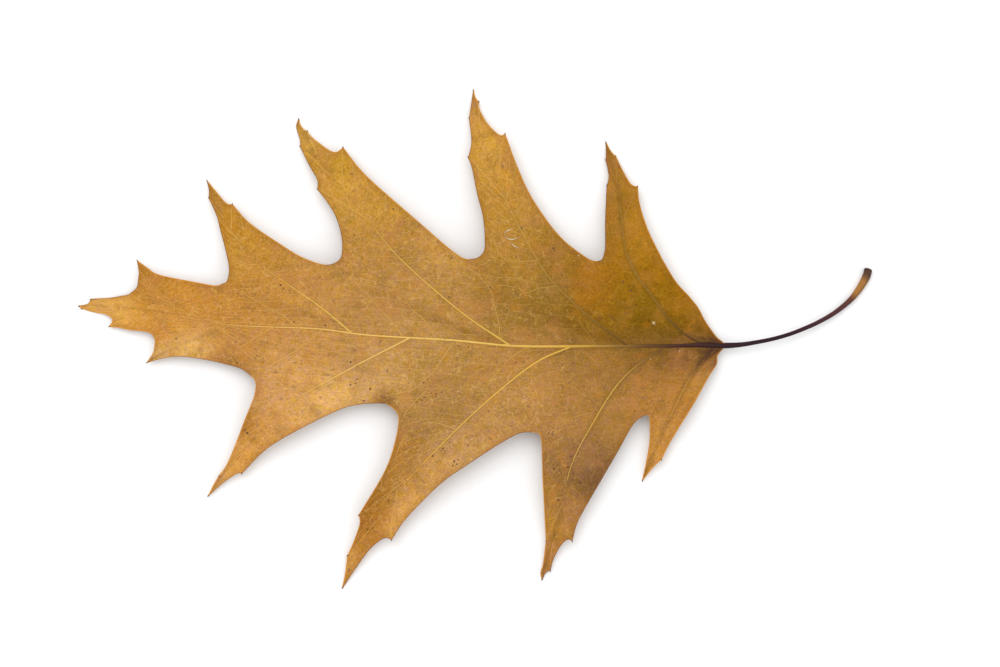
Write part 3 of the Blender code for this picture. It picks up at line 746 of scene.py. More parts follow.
    def build_scar(self) -> Shape:
        """The blunt, corky scar where the stalk broke from its twig: a low dome across its end.

        It is swept along an even line, and each ring is then moved to its own place on the dome.

        Returns:
            The closed dome.
        """
        axis = self._axis(self.midrib[:8])
        outward = axis[0] - axis[3]
        outward /= np.linalg.norm(outward)
        along = np.array([-0.5, -0.2, 0.05, 0.26, 0.42, 0.52, 0.57, 0.59]) * MM
        radii = np.array([0.96, 1.03, 1.05, 1.00, 0.86, 0.66, 0.42, 0.16]) * self.scar_radius
        angle = np.arange(self.scar_sides) * 2 * np.pi / self.scar_sides
        wobble = 1 + self.scar_wobble * np.cos(5 * angle)
        stops = ((0.0, (104, 70, 50)), (0.3, (80, 54, 44)), (0.7, (72, 50, 42)), (1.0, (120, 88, 58)))
        path = axis[0] + along[:, None] * outward
        straight = np.linspace(-0.5, 0.4, len(along))[:, None] * MM * outward + axis[0]
        shape = sweep(straight, radii[:, None] * wobble, tone_along(np.linspace(0, 1, len(along)), stops))
        moved = np.repeat(path - straight, self.scar_sides, axis=0)
        shape.places[:-2] += moved
        shape.places[-1] += path[-1] - straight[-1]
        return shape

    def build_side_veins(self) -> Shape:
        """The ten side veins, each a rod that tapers to the tip of its lobe.

        Returns:
            All the veins as one shape.
        """
        rods = []
        for (side, number), route in self.side_veins.items():
            share = arc_length(route) / arc_length(route)[-1]
            tones = tone_along(share, self.lobes[side][number].tones)
            rods.append(round_rod(self._axis(route), route[:, 3], tones, self.vein_sides))
        return join_shapes(rods)

    def build_minor_veins(self, tones: BladeTones) -> Shape:
        """The fine veins between the lobes, thinner towards their ends and duller near the stalk.

        Args:
            tones: the colours of the blade that they lie on.

        Returns:
            All the veins as one shape.
        """
        rods = []
        for points in MINOR_VEINS:
            path = smooth_path(np.array(points) * MM, self.route_step)
            height, _ = self.blade_height(path[:, 0], path[:, 1])
            share = np.linspace(0, 1, len(path))
            places = np.column_stack([path, height])
            radii = self.minor_radius - self.minor_taper * share
            paler = tones.beside(places, self.minor_color, 0.48, 0.35)
            rods.append(round_rod(places, radii, paler, self.minor_sides))
        return join_shapes(rods)


# --------------------------------------
# The blade
# --------------------------------------

def zigzag(phase: Array) -> Array:
    """A triangle wave from -1 to 1, with the period of a sine."""
    return np.arcsin(np.sin(phase)) * 2 / np.pi


@dataclass
class CrossVein:
    """A fine vein that leaves a side vein along the rows of the grid.

    Its row at a share y of the way across is row + sweep * y to the fourth power, so in a free lobe it
    arcs towards the next one near the edge, plus three small triangle waves that make it wander in
    kinks.
    """

    row: float
    span: float
    sweep: float
    waves: Array

    def row_at(self, y: Array) -> Array:
        """The row that the vein runs through at each share of the way across.

        Args:
            y: the shares.

        Returns:
            The fractional row numbers.
        """
        swing = sum(size * zigzag(rate * y + start) for size, rate, start in self.waves)
        fade = np.clip(y * (self.span - y) * 6, 0, 1)
        return self.row + self.sweep * y ** 4 + swing * fade


@dataclass
class HalfLobe:
    """The part of the blade between one vein and one edge, as a grid of places.

    In the far half of a sector between two lobes, the cross veins arrive from the near half, so their
    share of the way across runs from 2 at this vein to 1 at the line between the lobes.
    """

    plan: Array
    bay: Array
    touches_edge: bool
    tooth_rows: list[int]
    sector: int
    is_far_half: bool
    inner_veins: list[CrossVein]
    outer_veins: list[CrossVein]
    surface: Array = field(default_factory=lambda: np.zeros((0, 0, 3)))

    def at(self, rows: Array, shares: Array) -> Array:
        """Places on the middle surface, mixed linearly from the four nearest grid places.

        Args:
            rows: fractional row numbers.
            shares: shares of the way across.

        Returns:
            One place for each pair.
        """
        last_row, last_column = self.surface.shape[0] - 1, self.surface.shape[1] - 1
        rows = np.clip(rows, 0, last_row - 1e-6)
        columns = np.clip(shares * last_column, 0, last_column - 1e-6)
        row, column = rows.astype(int), columns.astype(int)
        down, over = (rows - row)[:, None], (columns - column)[:, None]
        near = self.surface[row, column] * (1 - over) + self.surface[row, column + 1] * over
        far = self.surface[row + 1, column] * (1 - over) + self.surface[row + 1, column + 1] * over
        return near * (1 - down) + far * down

    def row_gap(self) -> float:
        """Mean distance between the rows, half way across."""
        middle = self.plan[:, self.plan.shape[1] // 2]
        return float(np.linalg.norm(np.diff(middle, axis=0), axis=1).mean())


@dataclass
class Blade:
    """One half of the blade: a thin closed shell from the midrib to the edge of its lobes."""

    side: Side
    ribs: Ribs
    tones: BladeTones
    rows: int = 96
    inner_rows: int = 32
    row_lag: float = 1.4
    thickness: float = 0.22 * MM
    floor_gap: float = 0.02 * MM
    pucker_depth: float = 0.10 * MM
    pucker_width: float = 0.9 * MM
    edge_wave: float = 0.45 * MM
    chart_margin: float = 2.0 * MM
    wall_flare: float = 0.35 * MM
    weld_distance: float = 1e-4 * MM
    flat_beside_vein: float = 2.0 * MM
    crossing_gap: float = 5.0
    crossing_drift: float = 1.3
    free_gap: float = 5.2
    free_drift: float = 1.4
    bare_tip_rows: int = 18
    seed: int = 7
    halves: list[HalfLobe] = field(default_factory=list)

    def __post_init__(self) -> None:
        """Lay out the half lobes from the stalk to the apex."""
        self.random = np.random.default_rng(self.seed + (self.side is Side.RIGHT))
        lobes = self.ribs.lobes[self.side]
        apex = APEX_LOBES[self.side]
        veins = [self.ribs.side_veins[self.side, number][:, :2] for number in range(len(lobes))]
        roots = [vein[0, 0] for vein in veins]
        feet = [(near + far) / 2 for near, far in zip(roots, roots[1:])] + [apex.foot_x * MM]
        foot_places = self.ribs.midrib_at(np.array(feet))
        veins.append(self._apex_vein(foot_places[-1]))
        partings = [lobe.parting for lobe in lobes] + [apex.parting]
        vein_rows = [self._vein_rows(vein, parting) for vein, parting in zip(veins, partings)]
        bays = np.array([lobe.apex_edge[0][0] for lobe in lobes]) * MM
        sectors = [self._sector(near, far, foot, bay)
                   for near, far, foot, bay in zip(vein_rows, vein_rows[1:], foot_places, bays)]
        crossings = [self._inner_crossings() for _ in range(len(lobes) + 2)]

        for number, lobe in enumerate(lobes):
            near_line = None if lobe.starts_at_stalk else sectors[number - 1]
            is_far = not lobe.starts_at_stalk
            self._add_half(vein_rows[number], near_line, lobe.stalk_edge, None, number, crossings, is_far)
            self._add_half(vein_rows[number], sectors[number], lobe.apex_edge, None, number + 1,
                           crossings, False)
        self._add_half(vein_rows[-1], None, apex.edge, sectors[-1], len(lobes) + 1, crossings, False)

    def _apex_vein(self, foot: Array) -> Array:
        """The last part of the midrib, in plan.

        Args:
            foot: where the apex lobe begins on the midrib.

        Returns:
            The places from the foot to the apex.
        """
        midrib = self.ribs.midrib[:, :2]
        part = midrib[midrib[:, 0] < foot[0] - 1e-6]
        return np.vstack([foot, part, np.array([APEX]) * MM])

    def _vein_rows(self, vein: Array, parting: float) -> Array:
        """The inner end of every row.

        They are evenly spaced up to the parting. Beyond it their share of the rest of the vein is the
        share of the outer rows to the power of the lag, so rows lean towards the tip as real veins do.

        Args:
            vein: the path of the vein, in plan.
            parting: how far along it the lobe parts from its neighbours.

        Returns:
            One place on the vein for each row.
        """
        inner = np.linspace(0, parting, self.inner_rows + 1)
        share = np.linspace(0, 1, self.rows - self.inner_rows + 1)[1:]
        outer = parting + (1 - parting) * share ** self.row_lag
        return at_distances(vein, np.concatenate([inner, outer]) * arc_length(vein)[-1])

    def _sector(self, near: Array, far: Array, foot: Array, bay: Array) -> Array:
        """The line between two lobes, from its foot on the midrib to the bottom of their bay.

        It is half way between the first parts of the two veins, moved evenly so that its ends meet the
        foot and the bay.

        Args:
            near: the row places on the vein nearer the stalk.
            far: the row places on the vein nearer the apex.
            foot: the line's place on the midrib.
            bay: the bottom of the bay.

        Returns:
            One place on the line for each inner row.
        """
        middle = (near + far)[:self.inner_rows + 1] / 2
        share = np.linspace(0, 1, self.inner_rows + 1)[:, None]
        moved = middle + (foot - middle[0]) * (1 - share) + (bay - middle[-1]) * share
        return even_samples(moved, self.inner_rows)

    def _edge_rows(self, stretches: tuple[Stretch, ...], count: int) -> tuple[Array, list[int]]:
        """An edge cut into rows so that every tooth lies on a row.

        Args:
            stretches: the smooth stretches of the edge, in millimetres.
            count: the number of rows along the edge.

        Returns:
            The places of the rows, and the numbers of the rows that end in a tooth.
        """
        paths = [smooth_path(np.array(stretch) * MM, self.ribs.route_step) for stretch in stretches]
        lengths = np.array([arc_length(path)[-1] for path in paths])
        shares = np.maximum(2, np.round(count * lengths / lengths.sum()).astype(int))
        shares[np.argmax(shares)] += count - shares.sum()
        rows = [even_samples(path, share)[1:] for path, share in zip(paths, shares)]
        return np.vstack([paths[0][:1], *rows]), np.cumsum(shares)[:-1].tolist()

    def _inner_crossings(self) -> list[CrossVein]:
        """Cross veins that run from one side vein to the next, between the midrib and the bay.

        Returns:
            The cross veins of one sector.
        """
        rows = np.arange(self.crossing_gap / 2, self.inner_rows, self.crossing_gap)
        rows = rows + self.random.uniform(-self.crossing_drift, self.crossing_drift, len(rows))
        return [CrossVein(row, 2.0, 0.0, self._waves(2)) for row in rows]

    def _outer_crossings(self) -> list[CrossVein]:
        """Cross veins of a free lobe, which arc towards its tip as they near the edge.

        Returns:
            The cross veins of one half lobe.
        """
        rows = np.arange(self.inner_rows + 1.5, self.rows - self.bare_tip_rows, self.free_gap)
        rows = rows + self.random.uniform(-self.free_drift, self.free_drift, len(rows))
        return [CrossVein(row, 1.0, self.random.uniform(4, 6.5), self._waves(1)) for row in rows]

    def _waves(self, span: float) -> Array:
        """Three waves that make a cross vein wander, each finer and smaller than the last.

        Args:
            span: how many widths of a half lobe the vein crosses.

        Returns:
            One row of size, rate and start for each wave.
        """
        size = self.random.uniform(0.25, 0.9, 3) / (1, 1.6, 2.4)
        rate = self.random.uniform(0.8, 1.3, 3) * (4, 9, 17)
        return np.column_stack([size, rate, self.random.uniform(0, 2 * np.pi * span, 3)])

    def _add_half(self, vein_rows: Array, line: Array | None, edge: tuple[Stretch, ...],
                  first_row: Array | None, sector: int, crossings: list[list[CrossVein]],
                  is_far_half: bool) -> None:
        """Work out the grid of one half lobe.

        A row is the straight line from its place on the vein to its place on the outer path. The first
        rows are bent to follow the midrib or the line beside the apex lobe: the bend is what the first
        row needs, and fades out over the inner rows.

        Args:
            vein_rows: the inner end of every row.
            line: the outer ends of the inner rows, or None where they lie on the edge.
            edge: the stretches of the edge.
            first_row: the path of the first row, or None where it follows the midrib.
            sector: the number of the sector that the half lobe lies in.
            crossings: the cross veins of every sector.
            is_far_half: whether it is the far half of its sector, counted from the stalk.
        """
        outer_count = self.rows - self.inner_rows
        if line is None:
            beside_stalk = smooth_path(np.array(edge[0]) * MM, self.ribs.route_step)
            inner = even_samples(beside_stalk, self.inner_rows)
            outer, teeth = self._edge_rows(edge[1:], outer_count)
        else:
            inner = line
            outer, teeth = self._edge_rows(edge, outer_count)
        edge_rows = np.vstack([inner, outer[1:]])
        share = np.linspace(0, 1, self.inner_rows + 1)
        plan = vein_rows[:, None] + (edge_rows - vein_rows)[:, None] * share[None, :, None]
        if first_row is None:
            first_row = self.ribs.midrib_at(plan[0, :, 0])
            first_row[[0, -1]] = plan[0, [0, -1]]
        fade = np.clip(1 - np.arange(self.rows + 1) / self.inner_rows, 0, 1) ** 2
        plan = plan + fade[:, None, None] * (first_row - plan[0])[None]
        self.halves.append(HalfLobe(
            plan, edge_rows[self.inner_rows], line is None, [self.inner_rows + row for row in teeth],
            sector, is_far_half, crossings[sector], self._outer_crossings()))

    def _shares(self) -> Array:
        """The share of the way across of every column."""
        return np.linspace(0, 1, self.inner_rows + 1)

    def _edge_distance(self, half: HalfLobe) -> Array:
        """Distance of each grid place from the edge of the blade.

        Along a row that ends at the edge it is the way left to go, times the sine of the angle at which
        the row meets the edge. No place is nearer to the edge than the bottom of the bay is.

        Args:
            half: the half lobe.

        Returns:
            One distance for each grid place, in metres.
        """
        chord = half.plan[:, -1] - half.plan[:, 0]
        width = np.maximum(np.linalg.norm(chord, axis=1), 1e-9)
        tangent = np.gradient(half.plan[:, -1], axis=0)
        tangent /= np.maximum(np.linalg.norm(tangent, axis=1, keepdims=True), 1e-9)
        sine = np.abs(chord[:, 0] * tangent[:, 1] - chord[:, 1] * tangent[:, 0]) / width
        left = (1 - self._shares()) * (width * np.clip(sine, 0.35, 1))[:, None]
        if not half.touches_edge:
            left[:self.inner_rows] = 1.0
        return np.minimum(left, np.linalg.norm(half.plan - half.bay, axis=2) + 1e-9)

    def _puckers(self, half: HalfLobe) -> Array:
        """Depth of the small valleys that the cross veins lie in.

        Each is a bell curve of the distance from its vein, which is counted in rows.

        Args:
            half: the half lobe.

        Returns:
            One depth for each grid place, in metres.
        """
        rows, columns = np.meshgrid(np.arange(self.rows + 1.0), self._shares(), indexing="ij")
        reach = self.pucker_width / half.row_gap()
        across = 2 - columns if half.is_far_half else columns
        depth = np.zeros(rows.shape)
        for veins, shares in ((half.inner_veins, across), (half.outer_veins, columns)):
            for vein in veins:
                depth = np.maximum(depth, np.exp(-((rows - vein.row_at(shares)) / reach) ** 2))
        return self.pucker_depth * depth * np.clip(columns * 5, 0, 1)

    def _edge_waves(self, half: HalfLobe) -> Array:
        """Rise and fall of the edge, a sine of the way along it that fades inwards and at the tips.

        Args:
            half: the half lobe.

        Returns:
            One rise for each grid place, in metres.
        """
        row = np.arange(self.rows + 1.0)
        beyond = np.clip((row / self.inner_rows - 1) / (self.rows / self.inner_rows - 1), 0, 1)
        swell = np.sin(np.pi * beyond) * np.sin(beyond * 11 + half.sector * 4.5 + half.is_far_half)
        return self.edge_wave * swell[:, None] * self._shares()[None, :] ** 2

    def _grain(self, half: HalfLobe) -> Array:
        """A place in the rows' own space, in millimetres: along the vein, across, and by sector.

        Rows that meet at the line between two lobes carry on from each other.

        Args:
            half: the half lobe.

        Returns:
            One place for each grid place.
        """
        across = 2 - self._shares() if half.is_far_half else self._shares()
        along, across = np.meshgrid(np.arange(self.rows + 1.0) * half.row_gap() / MM, across * 12.0,
                                    indexing="ij")
        return np.stack([along, across, np.full(along.shape, half.sector * 40.0)], axis=-1)

    def build(self) -> bpy.types.Object:
        """Make the closed shell of this half of the blade.

        The middle surface is the blade's height over every grid place, plus the edge's waves and less
        the puckers, which fade close to a vein. The upper face lies half the thickness above it and the
        under face half the thickness below, and a narrow wall joins them.

        Returns:
            The piece, with the values that its finishes read.
        """
        plan = np.vstack([half.plan.reshape(-1, 2) for half in self.halves])
        lift = np.concatenate([(self._edge_waves(half) - self._puckers(half)).ravel()
                               for half in self.halves])
        edge = np.concatenate([self._edge_distance(half).ravel() for half in self.halves])
        grain = np.vstack([self._grain(half).reshape(-1, 3) for half in self.halves])

        keys = np.round(plan / self.weld_distance).astype(np.int64)
        _, first, merged = np.unique(keys, axis=0, return_index=True, return_inverse=True)
        merged = merged.ravel()
        plan, lift, edge, grain = plan[first], lift[first], edge[first], grain[first]
        height, vein_distance = self.ribs.blade_height(plan[:, 0], plan[:, 1])
        height = height + lift * np.clip(vein_distance / self.flat_beside_vein, 0, 1)
        height = np.maximum(height, self.thickness / 2 + self.floor_gap)
        surface = np.column_stack([plan, height])
        for half, places in zip(self.halves, np.split(surface[merged], len(self.halves))):
            half.surface = places.reshape(*half.plan.shape[:2], 3)

        triangles = self._upward_triangles(merged, plan)
        shape, slots = self._shell(surface, triangles)
        piece = shape.make(f"blade_{self.side.value}")
        put_values(piece, "edge_distance", np.tile(edge / MM, 2))
        put_values(piece, "vein_distance", np.tile(vein_distance / MM, 2))
        put_values(piece, "grain", np.vstack([grain, grain]))
        for _ in Face:
            piece.data.materials.append(None)
        piece.data.polygons.foreach_set("material_index", slots)
        return piece

    def _upward_triangles(self, merged: Array, plan: Array) -> Array:
        """Two triangles for every cell of every half lobe's grid, all facing up.

        Args:
            merged: the welded number of every grid place.
            plan: the welded places.

        Returns:
            The triangles that have three different corners, anticlockwise from above.
        """
        width = self.inner_rows + 1
        size = (self.rows + 1) * width
        row, column = np.meshgrid(np.arange(self.rows), np.arange(self.inner_rows), indexing="ij")
        corner = (row * width + column).ravel()
        cell = np.vstack([np.column_stack([corner, corner + width, corner + width + 1]),
                          np.column_stack([corner, corner + width + 1, corner + 1])])
        triangles = merged[np.vstack([cell + size * number for number in range(len(self.halves))])]
        a, b, c = triangles.T
        triangles = triangles[(a != b) & (b != c) & (c != a)]
        a, b, c = (plan[triangles[:, number]] for number in range(3))
        clockwise = (b - a)[:, 0] * (c - a)[:, 1] < (b - a)[:, 1] * (c - a)[:, 0]
        triangles[clockwise] = triangles[clockwise][:, ::-1]
        return triangles

    def _shell(self, surface: Array, triangles: Array) -> tuple[Shape, Array]:
        """Give the middle surface its thickness.

        Its chart is the plan of the upper face in the lower half of the square, the plan of the under
        face in the upper half, and the wall laid flat as a narrow flange round the upper face.

        Args:
            surface: the places of the middle surface.
            triangles: its triangles, facing up.

        Returns:
            The closed shell, and the material slot of each of its triangles.
        """
        count = len(surface)
        half_thickness = np.array([0.0, 0.0, self.thickness / 2])
        rim = self._rim_edges(triangles)
        wall = np.vstack([np.column_stack([rim[:, 0], rim[:, 0] + count, rim[:, 1] + count]),
                          np.column_stack([rim[:, 0], rim[:, 1] + count, rim[:, 1]])])

        along = surface[rim[:, 1], :2] - surface[rim[:, 0], :2]
        outward = np.zeros((count, 2))
        for end in range(2):
            np.add.at(outward, rim[:, end], np.column_stack([along[:, 1], -along[:, 0]]))
        outward /= np.maximum(np.linalg.norm(outward, axis=1, keepdims=True), 1e-12)
        low = surface[:, :2].min(axis=0) - self.chart_margin
        span = surface[:, :2].max(axis=0) + self.chart_margin - low
        flat = (surface[:, :2] - low) / span * (1.0, 0.5)
        flange = (surface[:, :2] + outward * self.wall_flare - low) / span * (1.0, 0.5)
        both = np.vstack([flat, flange])
        chart = np.vstack([flat[triangles], flat[triangles[:, ::-1]] + (0.0, 0.5), both[wall]])
        slots = np.full(len(chart), Face.UPPER.value)
        slots[len(triangles):2 * len(triangles)] = Face.UNDER.value
        tones = self.tones.at(surface[:, 0], surface[:, 1])
        shape = Shape(np.vstack([surface + half_thickness, surface - half_thickness]),
                      np.vstack([triangles, triangles[:, ::-1] + count, wall]),
                      chart, np.vstack([tones, tones]), np.zeros((2 * count, 3)))
        return shape, slots

    @staticmethod
    def _rim_edges(triangles: Array) -> Array:
        """The edges that only one triangle uses, in that triangle's own direction.

        Args:
            triangles: the triangles of an open surface.

        Returns:
            The two ends of each edge of its rim.
        """
        edges = np.vstack([triangles[:, [0, 1]], triangles[:, [1, 2]], triangles[:, [2, 0]]])
        _, place, uses = np.unique(np.sort(edges, axis=1), axis=0, return_index=True, return_counts=True)
        return edges[place[uses == 1]]


@dataclass
class FineVeins:
    """The fine veins, the edge cord and the bristles that ride on one half of the blade."""

    blade: Blade
    vein_radius: float = 0.135 * MM
    link_radius: float = 0.135 * MM * 0.93
    branch_radius: float = 0.17 * MM
    inner_start: float = 0.03
    free_length: float = 0.93
    samples: int = 15
    branch_rows: float = 7.0
    cord_radius: float = 0.13 * MM
    bristle_length: float = 0.6 * MM
    bristle_radius: float = 0.24 * MM
    vein_sides: int = 5
    cord_sides: int = 6
    vein_color: Color = (246, 198, 112)
    # Colours of the edge cord's painted highlight and painted shade
    lit_edge: Color = (244, 168, 66)
    shaded_edge: Color = (128, 78, 60)
    bristle_tones: Stops = ((0.0, (190, 124, 60)), (0.35, (120, 72, 44)), (1.0, (74, 44, 36)))
    seed: int = 23

    def __post_init__(self) -> None:
        """Start the run of random numbers that places the links."""
        self.random = np.random.default_rng(self.seed + (self.blade.side is Side.RIGHT))

    def _rod(self, half: HalfLobe, rows: Array, shares: Array, radii: Array) -> Shape:
        """A thin rod that lies on a half lobe, a little paler than the blade.

        Args:
            half: the half lobe.
            rows: the fractional rows that it runs through.
            shares: its shares of the way across.
            radii: its radius at each place.

        Returns:
            The closed rod.
        """
        places = half.at(rows, shares)
        tones = self.blade.tones.beside(places, self.vein_color, 0.42, 0.22)
        return round_rod(places, radii, tones, self.vein_sides)

    def _cross_veins(self, half: HalfLobe) -> list[Shape]:
        """The cross veins of a half lobe, and short links that join neighbours into a net.

        Args:
            half: the half lobe.

        Returns:
            One rod for each vein and each link.
        """
        rods = []
        y = np.linspace(self.inner_start, 1.0, self.samples)
        radii = np.full(self.samples, self.vein_radius)
        short = y * self.free_length
        groups = ((half.inner_veins, y, 2 - y if half.is_far_half else y),
                  (half.outer_veins, short, short))
        for veins, shares, across in groups:
            rods += [self._rod(half, vein.row_at(across), shares, radii) for vein in veins]
            for near, far in zip(veins, veins[1:]):
                for start in self.random.uniform(0.12, 0.8, 2):
                    t = np.linspace(0, 1, 5)
                    link = start + t * self.random.uniform(-0.12, 0.16)
                    way = 2 - link if half.is_far_half and veins is half.inner_veins else link
                    rows = near.row_at(way) * (1 - t) + far.row_at(way) * t
                    rods.append(self._rod(half, rows, link, np.full(len(t), self.link_radius)))
        return rods

    def _branches(self, half: HalfLobe) -> list[Shape]:
        """A small vein from the side vein to every tooth, which starts some rows nearer the root.

        Args:
            half: the half lobe.

        Returns:
            One rod for each tooth.
        """
        y = np.linspace(0.0, 1.0, self.samples)
        radii = self.branch_radius * (1 - 0.2 * y)
        return [self._rod(half, row - self.branch_rows * (1 - y) ** 1.3, y, radii)
                for row in half.tooth_rows]

    def build_net(self) -> Shape:
        """All the fine veins of this half of the blade."""
        rods = [rod for half in self.blade.halves
                for rod in self._cross_veins(half) + self._branches(half)]
        return join_shapes(rods, columns=10)

    def build_cord(self) -> Shape:
        """The thickened edge of the blade: a thin cord that follows it from bay to tip.

        A painted highlight lies on the side of each lobe that leans to the light, and painted shade on the
        other side.

        Returns:
            All the cords as one shape.
        """
        rods = []
        for half in self.blade.halves:
            start = 0 if half.touches_edge else self.blade.inner_rows
            path = half.surface[start:, -1]
            keep = np.concatenate([[True], np.linalg.norm(np.diff(path, axis=0), axis=1) > 1e-6])
            path = path[keep]
            # Painted highlight on the lobe side that leans to the light, painted shade on the other side
            lit = half.sector == 0 or half.is_far_half is (self.blade.side is Side.LEFT)
            radii = np.full(len(path), self.cord_radius)
            tones = self.blade.tones.beside(path, self.lit_edge if lit else self.shaded_edge, 0.55)
            rods.append(round_rod(path, radii, tones, self.cord_sides))
        return join_shapes(rods)

    def build_bristles(self) -> Shape:
        """The short bristle at every tooth and every tip.

        A tooth's bristle points half way between its row and the edge that leads to it. A tip's
        carries on from the side vein.

        Returns:
            All the bristles as one shape.
        """
        rods = []
        for half in self.blade.halves:
            for row in half.tooth_rows:
                across = half.surface[row, -1] - half.surface[row, -5]
                along = half.surface[row, -1] - half.surface[row - 2, -1]
                way = across / np.linalg.norm(across) + along / np.linalg.norm(along)
                rods.append(self._bristle(half.surface[row, -1], way))
            if half.sector > 0 and not half.is_far_half:
                way = half.surface[-1, 0] - half.surface[-4, 0]
                rods.append(self._bristle(half.surface[-1, 0], way))
        return join_shapes(rods, columns=4)

    def _bristle(self, start: Array, way: Array) -> Shape:
        """One bristle: a thin cone that bends level.

        Args:
            start: its place on the edge.
            way: the direction that it points in.

        Returns:
            The closed cone.
        """
        share = np.linspace(0, 1, 7)
        way = way * (1.0, 1.0, 0.3)
        way /= np.linalg.norm(way)
        path = start + (share - 0.3)[:, None] * self.bristle_length * way
        path[:, 2] = np.maximum(path[:, 2], self.bristle_radius * 1.1 * (1 - share) + 0.05 * MM)
        radii = self.bristle_radius * (1 - 0.8 * share ** 0.8)
        return round_rod(path, radii, tone_along(share, self.bristle_tones), self.cord_sides)


@dataclass
class Specks:
    """The small dark spots of old mould that lie in groups on one half of the blade."""

    blade: Blade
    radius: float = 0.24 * MM
    flatness: float = 0.14
    reach: float = 0.9 * MM
    tones: Stops = ((0.0, (132, 94, 62)), (0.5, (98, 70, 58)), (1.0, (122, 86, 60)))
    seed: int = 41

    def build(self) -> Shape:
        """Scatter the spots of every group whose middle lies on this half of the blade.

        A spot is a short flat lens. Its middle is the place of the blade's grid nearest to a place that
        is drawn from a bell curve round the group's middle.

        Returns:
            All the spots as one shape.
        """
        random = np.random.default_rng(self.seed)
        surface = np.vstack([half.surface.reshape(-1, 3) for half in self.blade.halves])
        share = np.linspace(0, 1, 6)
        swell = np.array([0.35, 0.80, 1.0, 0.95, 0.75, 0.30])
        spots = []
        for x, y, spread, count in SPECK_GROUPS:
            for shift in random.normal(0, spread, (count, 2)):
                size = self.radius * random.uniform(0.55, 1.25)
                turn = random.uniform(0, np.pi)
                lumps = random.uniform(0.75, 1.15, (len(share), 8))
                gaps = np.linalg.norm(surface[:, :2] - (np.array([x, y]) + shift) * MM, axis=1)
                if gaps.min() > self.reach:
                    continue
                way = np.array([np.cos(turn), np.sin(turn), 0.0])
                middle = surface[np.argmin(gaps)] + (0.0, 0.0, self.blade.thickness / 2)
                path = middle + (2 * share - 1)[:, None] * size * way
                radii = size * swell[:, None] * lumps
                spots.append(sweep(path, radii, tone_along(share, self.tones), self.flatness))
        return join_shapes(spots, columns=8)


def build_scratches(ribs: Ribs) -> Shape:
    """A small tear and a few scratches, as thin pale curls that lie on the blade.

    Args:
        ribs: the ribs that carry the blade.

    Returns:
        All the curls as one shape.
    """
    rods = []
    for points in SCRATCHES:
        path = smooth_path(np.array(points) * MM, 0.25 * MM)
        height, _ = ribs.blade_height(path[:, 0], path[:, 1])
        share = np.linspace(0, 1, len(path))
        places = np.column_stack([path, height + (0.06 + 0.05 * np.sin(np.pi * share)) * MM])
        radii = (0.05 + 0.09 * np.sin(np.pi * share)) * MM
        tones = tone_along(share, ((0.0, (196, 158, 108)), (0.5, (240, 222, 184)), (1.0, (190, 148, 98))))
        rods.append(round_rod(places, radii, tones, 6))
    return join_shapes(rods)


# --------------------------------------
# Finishes
# --------------------------------------

Feed = bpy.types.NodeSocket | float | tuple


